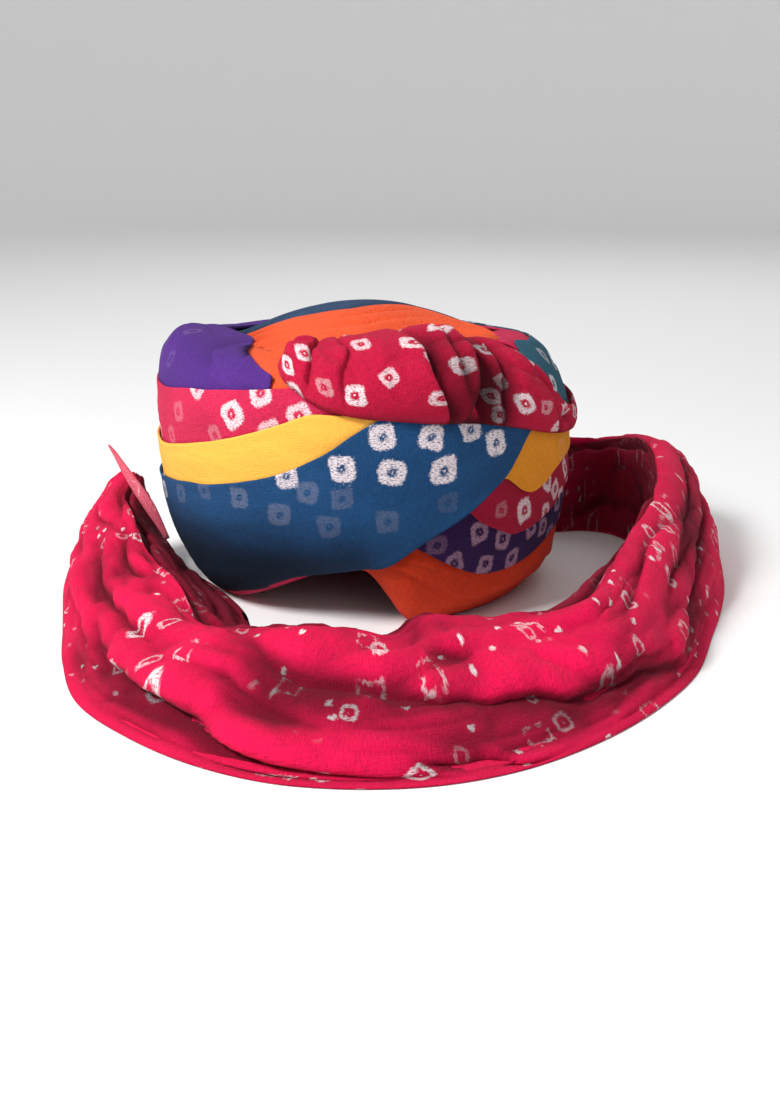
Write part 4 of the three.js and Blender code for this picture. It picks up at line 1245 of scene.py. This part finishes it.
def tail_cloth():
    outer, travelled, body, run, relief = tail_surface()
    count, size = outer.shape[:2]
    start, cut = (tail_surface(TAIL_STEP * 2, TAIL_SIDES // 2, loose, False)[0] for loose in (1.0, TAIL_LOOSE))
    pinned = np.zeros(start.shape[:2], bool)
    pinned[:, TAIL_SIDES // 4:] = True
    pinned[:TAIL_HELD] = True
    moved = settle(start, cut, pinned)
    angle = (360 * (np.arange(size) + 0.5) / size)[None, :, None]
    outer = outer + spread(moved, count, size) * smooth((np.minimum(angle, 180 - angle) - 6) / 24)
    outer[..., 2] = np.maximum(outer[..., 2], 0.0)
    hem = smooth((run - HEM_FROM) / (len(TAIL_TABLE) - 1 - HEM_FROM))
    wave = hem * HEM_WAVE * (noise(body / 26.0, 0 * body, 77) + 0.5 * noise(body / 9.0, 0 * body, 78))
    outer[..., 1] += wave
    outer[..., 2] *= 1 - 0.1 * hem * (noise(body / 30.0, 0 * body, 79) + 1) / 2
    inward = outer.mean(1, keepdims=True) - outer
    inward /= np.linalg.norm(inward, axis=2, keepdims=True)
    wall = lerp(TAIL_SPARE, TAIL_WALL, smooth((run - TAIL_THIN_FROM) / 0.8))[..., None]
    inner = (outer + wall * inward)[::INNER_EVERY, ::2]
    inner_count, inner_size = inner.shape[:2]
    faces = skin_faces(count, size)
    first = count * size
    faces += [face[::-1] for face in skin_faces(inner_count, inner_size, first)]
    end, inner_end = (count - 1) * size, first + (inner_count - 1) * inner_size
    for k in range(inner_size):
        a, b, c = 2 * k, (2 * k + 1) % size, (2 * k + 2) % size
        after = (k + 1) % inner_size
        faces.append([first + k, first + after, c, b, a])
        faces.append([end + a, end + b, end + c, inner_end + after, inner_end + k])
    tube_points = np.concatenate([outer.reshape(-1, 3), inner.reshape(-1, 3)])
    spike_points, spike_faces = spike()
    start = len(tube_points)
    faces += [[start + k for k in face] for face in spike_faces]
    dots = tail_dots(run[:, 0], travelled[:, 0], body[:, size // 2] * 2)
    fields = dot_fields(travelled, body, dots, 82)
    hidden = inner_count * inner_size
    reverse = 360 * (np.arange(size) + 0.5)[None, :] / size
    turned = smooth((reverse - 93) / 9) * (reverse < 180)
    dot = np.concatenate([fields["dot"].ravel(), np.full(hidden, FAR), np.full(len(spike_points), 0.8)])
    faded = (fields["dot_strength"] * (1 - 0.8 * turned)).ravel()
    strength = np.concatenate([faded, np.zeros(hidden), np.full(len(spike_points), SPIKE_PALE)])
    inner_run, inner_across = np.divmod(np.arange(hidden), inner_size)
    u = np.concatenate([travelled.ravel(), inner_run * 8.0, spike_points[:, 2] * 1.5])
    v = np.concatenate([body.ravel(), inner_across * 3.0, spike_points[:, 0]])
    points = np.concatenate([tube_points, spike_points])
    # Painted shade: darker down in the creases and over the inner slope, which faces away from the key light
    painted_darkening = np.clip(0.75 * smooth((-relief - 2) / 7) + INNER_SLOPE_PAINTED_SHADE * turned, 0, 0.82).ravel()
    painted_shade = np.concatenate([painted_darkening, np.zeros(hidden), np.zeros(len(spike_points))])
    fields = {"dot": dot, "dot_strength": strength, "painted_shade": painted_shade}
    piece = build_mesh("tail_cloth_length", points, faces, u, v, fields)
    finish_sheet(piece, "tail", "tail_cloth")


tail_cloth()


# The floor, light and camera

FLOOR_RADIUS = 2.6
SWEEP_RADIUS = 1.0
WALL_TOP = 1.9
FLOOR_SINK = 0.0004
FLOOR_SIDES = 72
FLOOR_PALE = 0.94
SKY_LIGHT = 0.42
LAMPS = (
    # name, place, size, watts
    ("key_light", (-0.95, -0.8, 1.25), 0.5, 32),
    ("fill_light", (0.9, -1.6, 0.45), 1.2, 4),
    ("back_light", (0.3, 1.5, 1.3), 1.2, 5),
)


def studio():
    """A pale round floor that sweeps up all round, soft lamps and a pale sky."""
    bend = np.radians(np.linspace(0, 90, 13))
    profile = [(FLOOR_RADIUS + SWEEP_RADIUS * np.sin(t), SWEEP_RADIUS * (1 - np.cos(t))) for t in bend]
    profile.append((FLOOR_RADIUS + SWEEP_RADIUS, WALL_TOP))
    way = 2 * np.pi * np.arange(FLOOR_SIDES) / FLOOR_SIDES
    points = [(r * np.cos(t), r * np.sin(t), z - FLOOR_SINK) for r, z in profile for t in way]
    faces = [face[::-1] for face in skin_faces(len(profile), FLOOR_SIDES)] + [list(range(FLOOR_SIDES))]
    mesh = bpy.data.meshes.new("pale_floor")
    mesh.from_pydata(points, [], faces)
    mesh.shade_smooth()
    floor = bpy.data.objects.new("pale_floor", mesh)
    bpy.context.scene.collection.objects.link(floor)
    material = bpy.data.materials.new("pale_floor")
    material.use_nodes = True
    shader = material.node_tree.nodes["Principled BSDF"]
    shader.inputs["Base Color"].default_value = (FLOOR_PALE, FLOOR_PALE, FLOOR_PALE, 1)
    shader.inputs["Roughness"].default_value = 0.95
    shader.inputs["Specular IOR Level"].default_value = 0.1
    mesh.materials.append(material)
    world = bpy.data.worlds.new("studio")
    bpy.context.scene.world = world
    world.use_nodes = True
    world.node_tree.nodes["Background"].inputs["Color"].default_value = (1, 1, 1, 1)
    world.node_tree.nodes["Background"].inputs["Strength"].default_value = SKY_LIGHT
    for name, place, size, power in LAMPS:
        light = bpy.data.lights.new(name, "AREA")
        light.size = size
        light.energy = power
        lamp = bpy.data.objects.new(name, light)
        lamp.location = place
        lamp.rotation_euler = (Vector((0, 0, 0.05)) - Vector(place)).to_track_quat("-Z", "Y").to_euler()
        bpy.context.scene.collection.objects.link(lamp)
    bpy.context.scene.view_settings.view_transform = "Standard"


CAMERA_PLACE = (16.2, -954.0, 301.0)
CAMERA_DOWN = 17.0
CAMERA_LENS = 50.0
CAMERA_SENSOR = 36


def camera():
    lens = bpy.data.cameras.new("camera")
    lens.lens = CAMERA_LENS
    lens.sensor_width = CAMERA_SENSOR
    lens.clip_start = 0.01
    eye = bpy.data.objects.new("camera", lens)
    eye.location = Vector(CENTRE) + Vector(CAMERA_PLACE) * MM
    eye.rotation_euler = (np.radians(90 - CAMERA_DOWN), 0, 0)
    bpy.context.scene.collection.objects.link(eye)
    bpy.context.scene.camera = eye


studio()
camera()
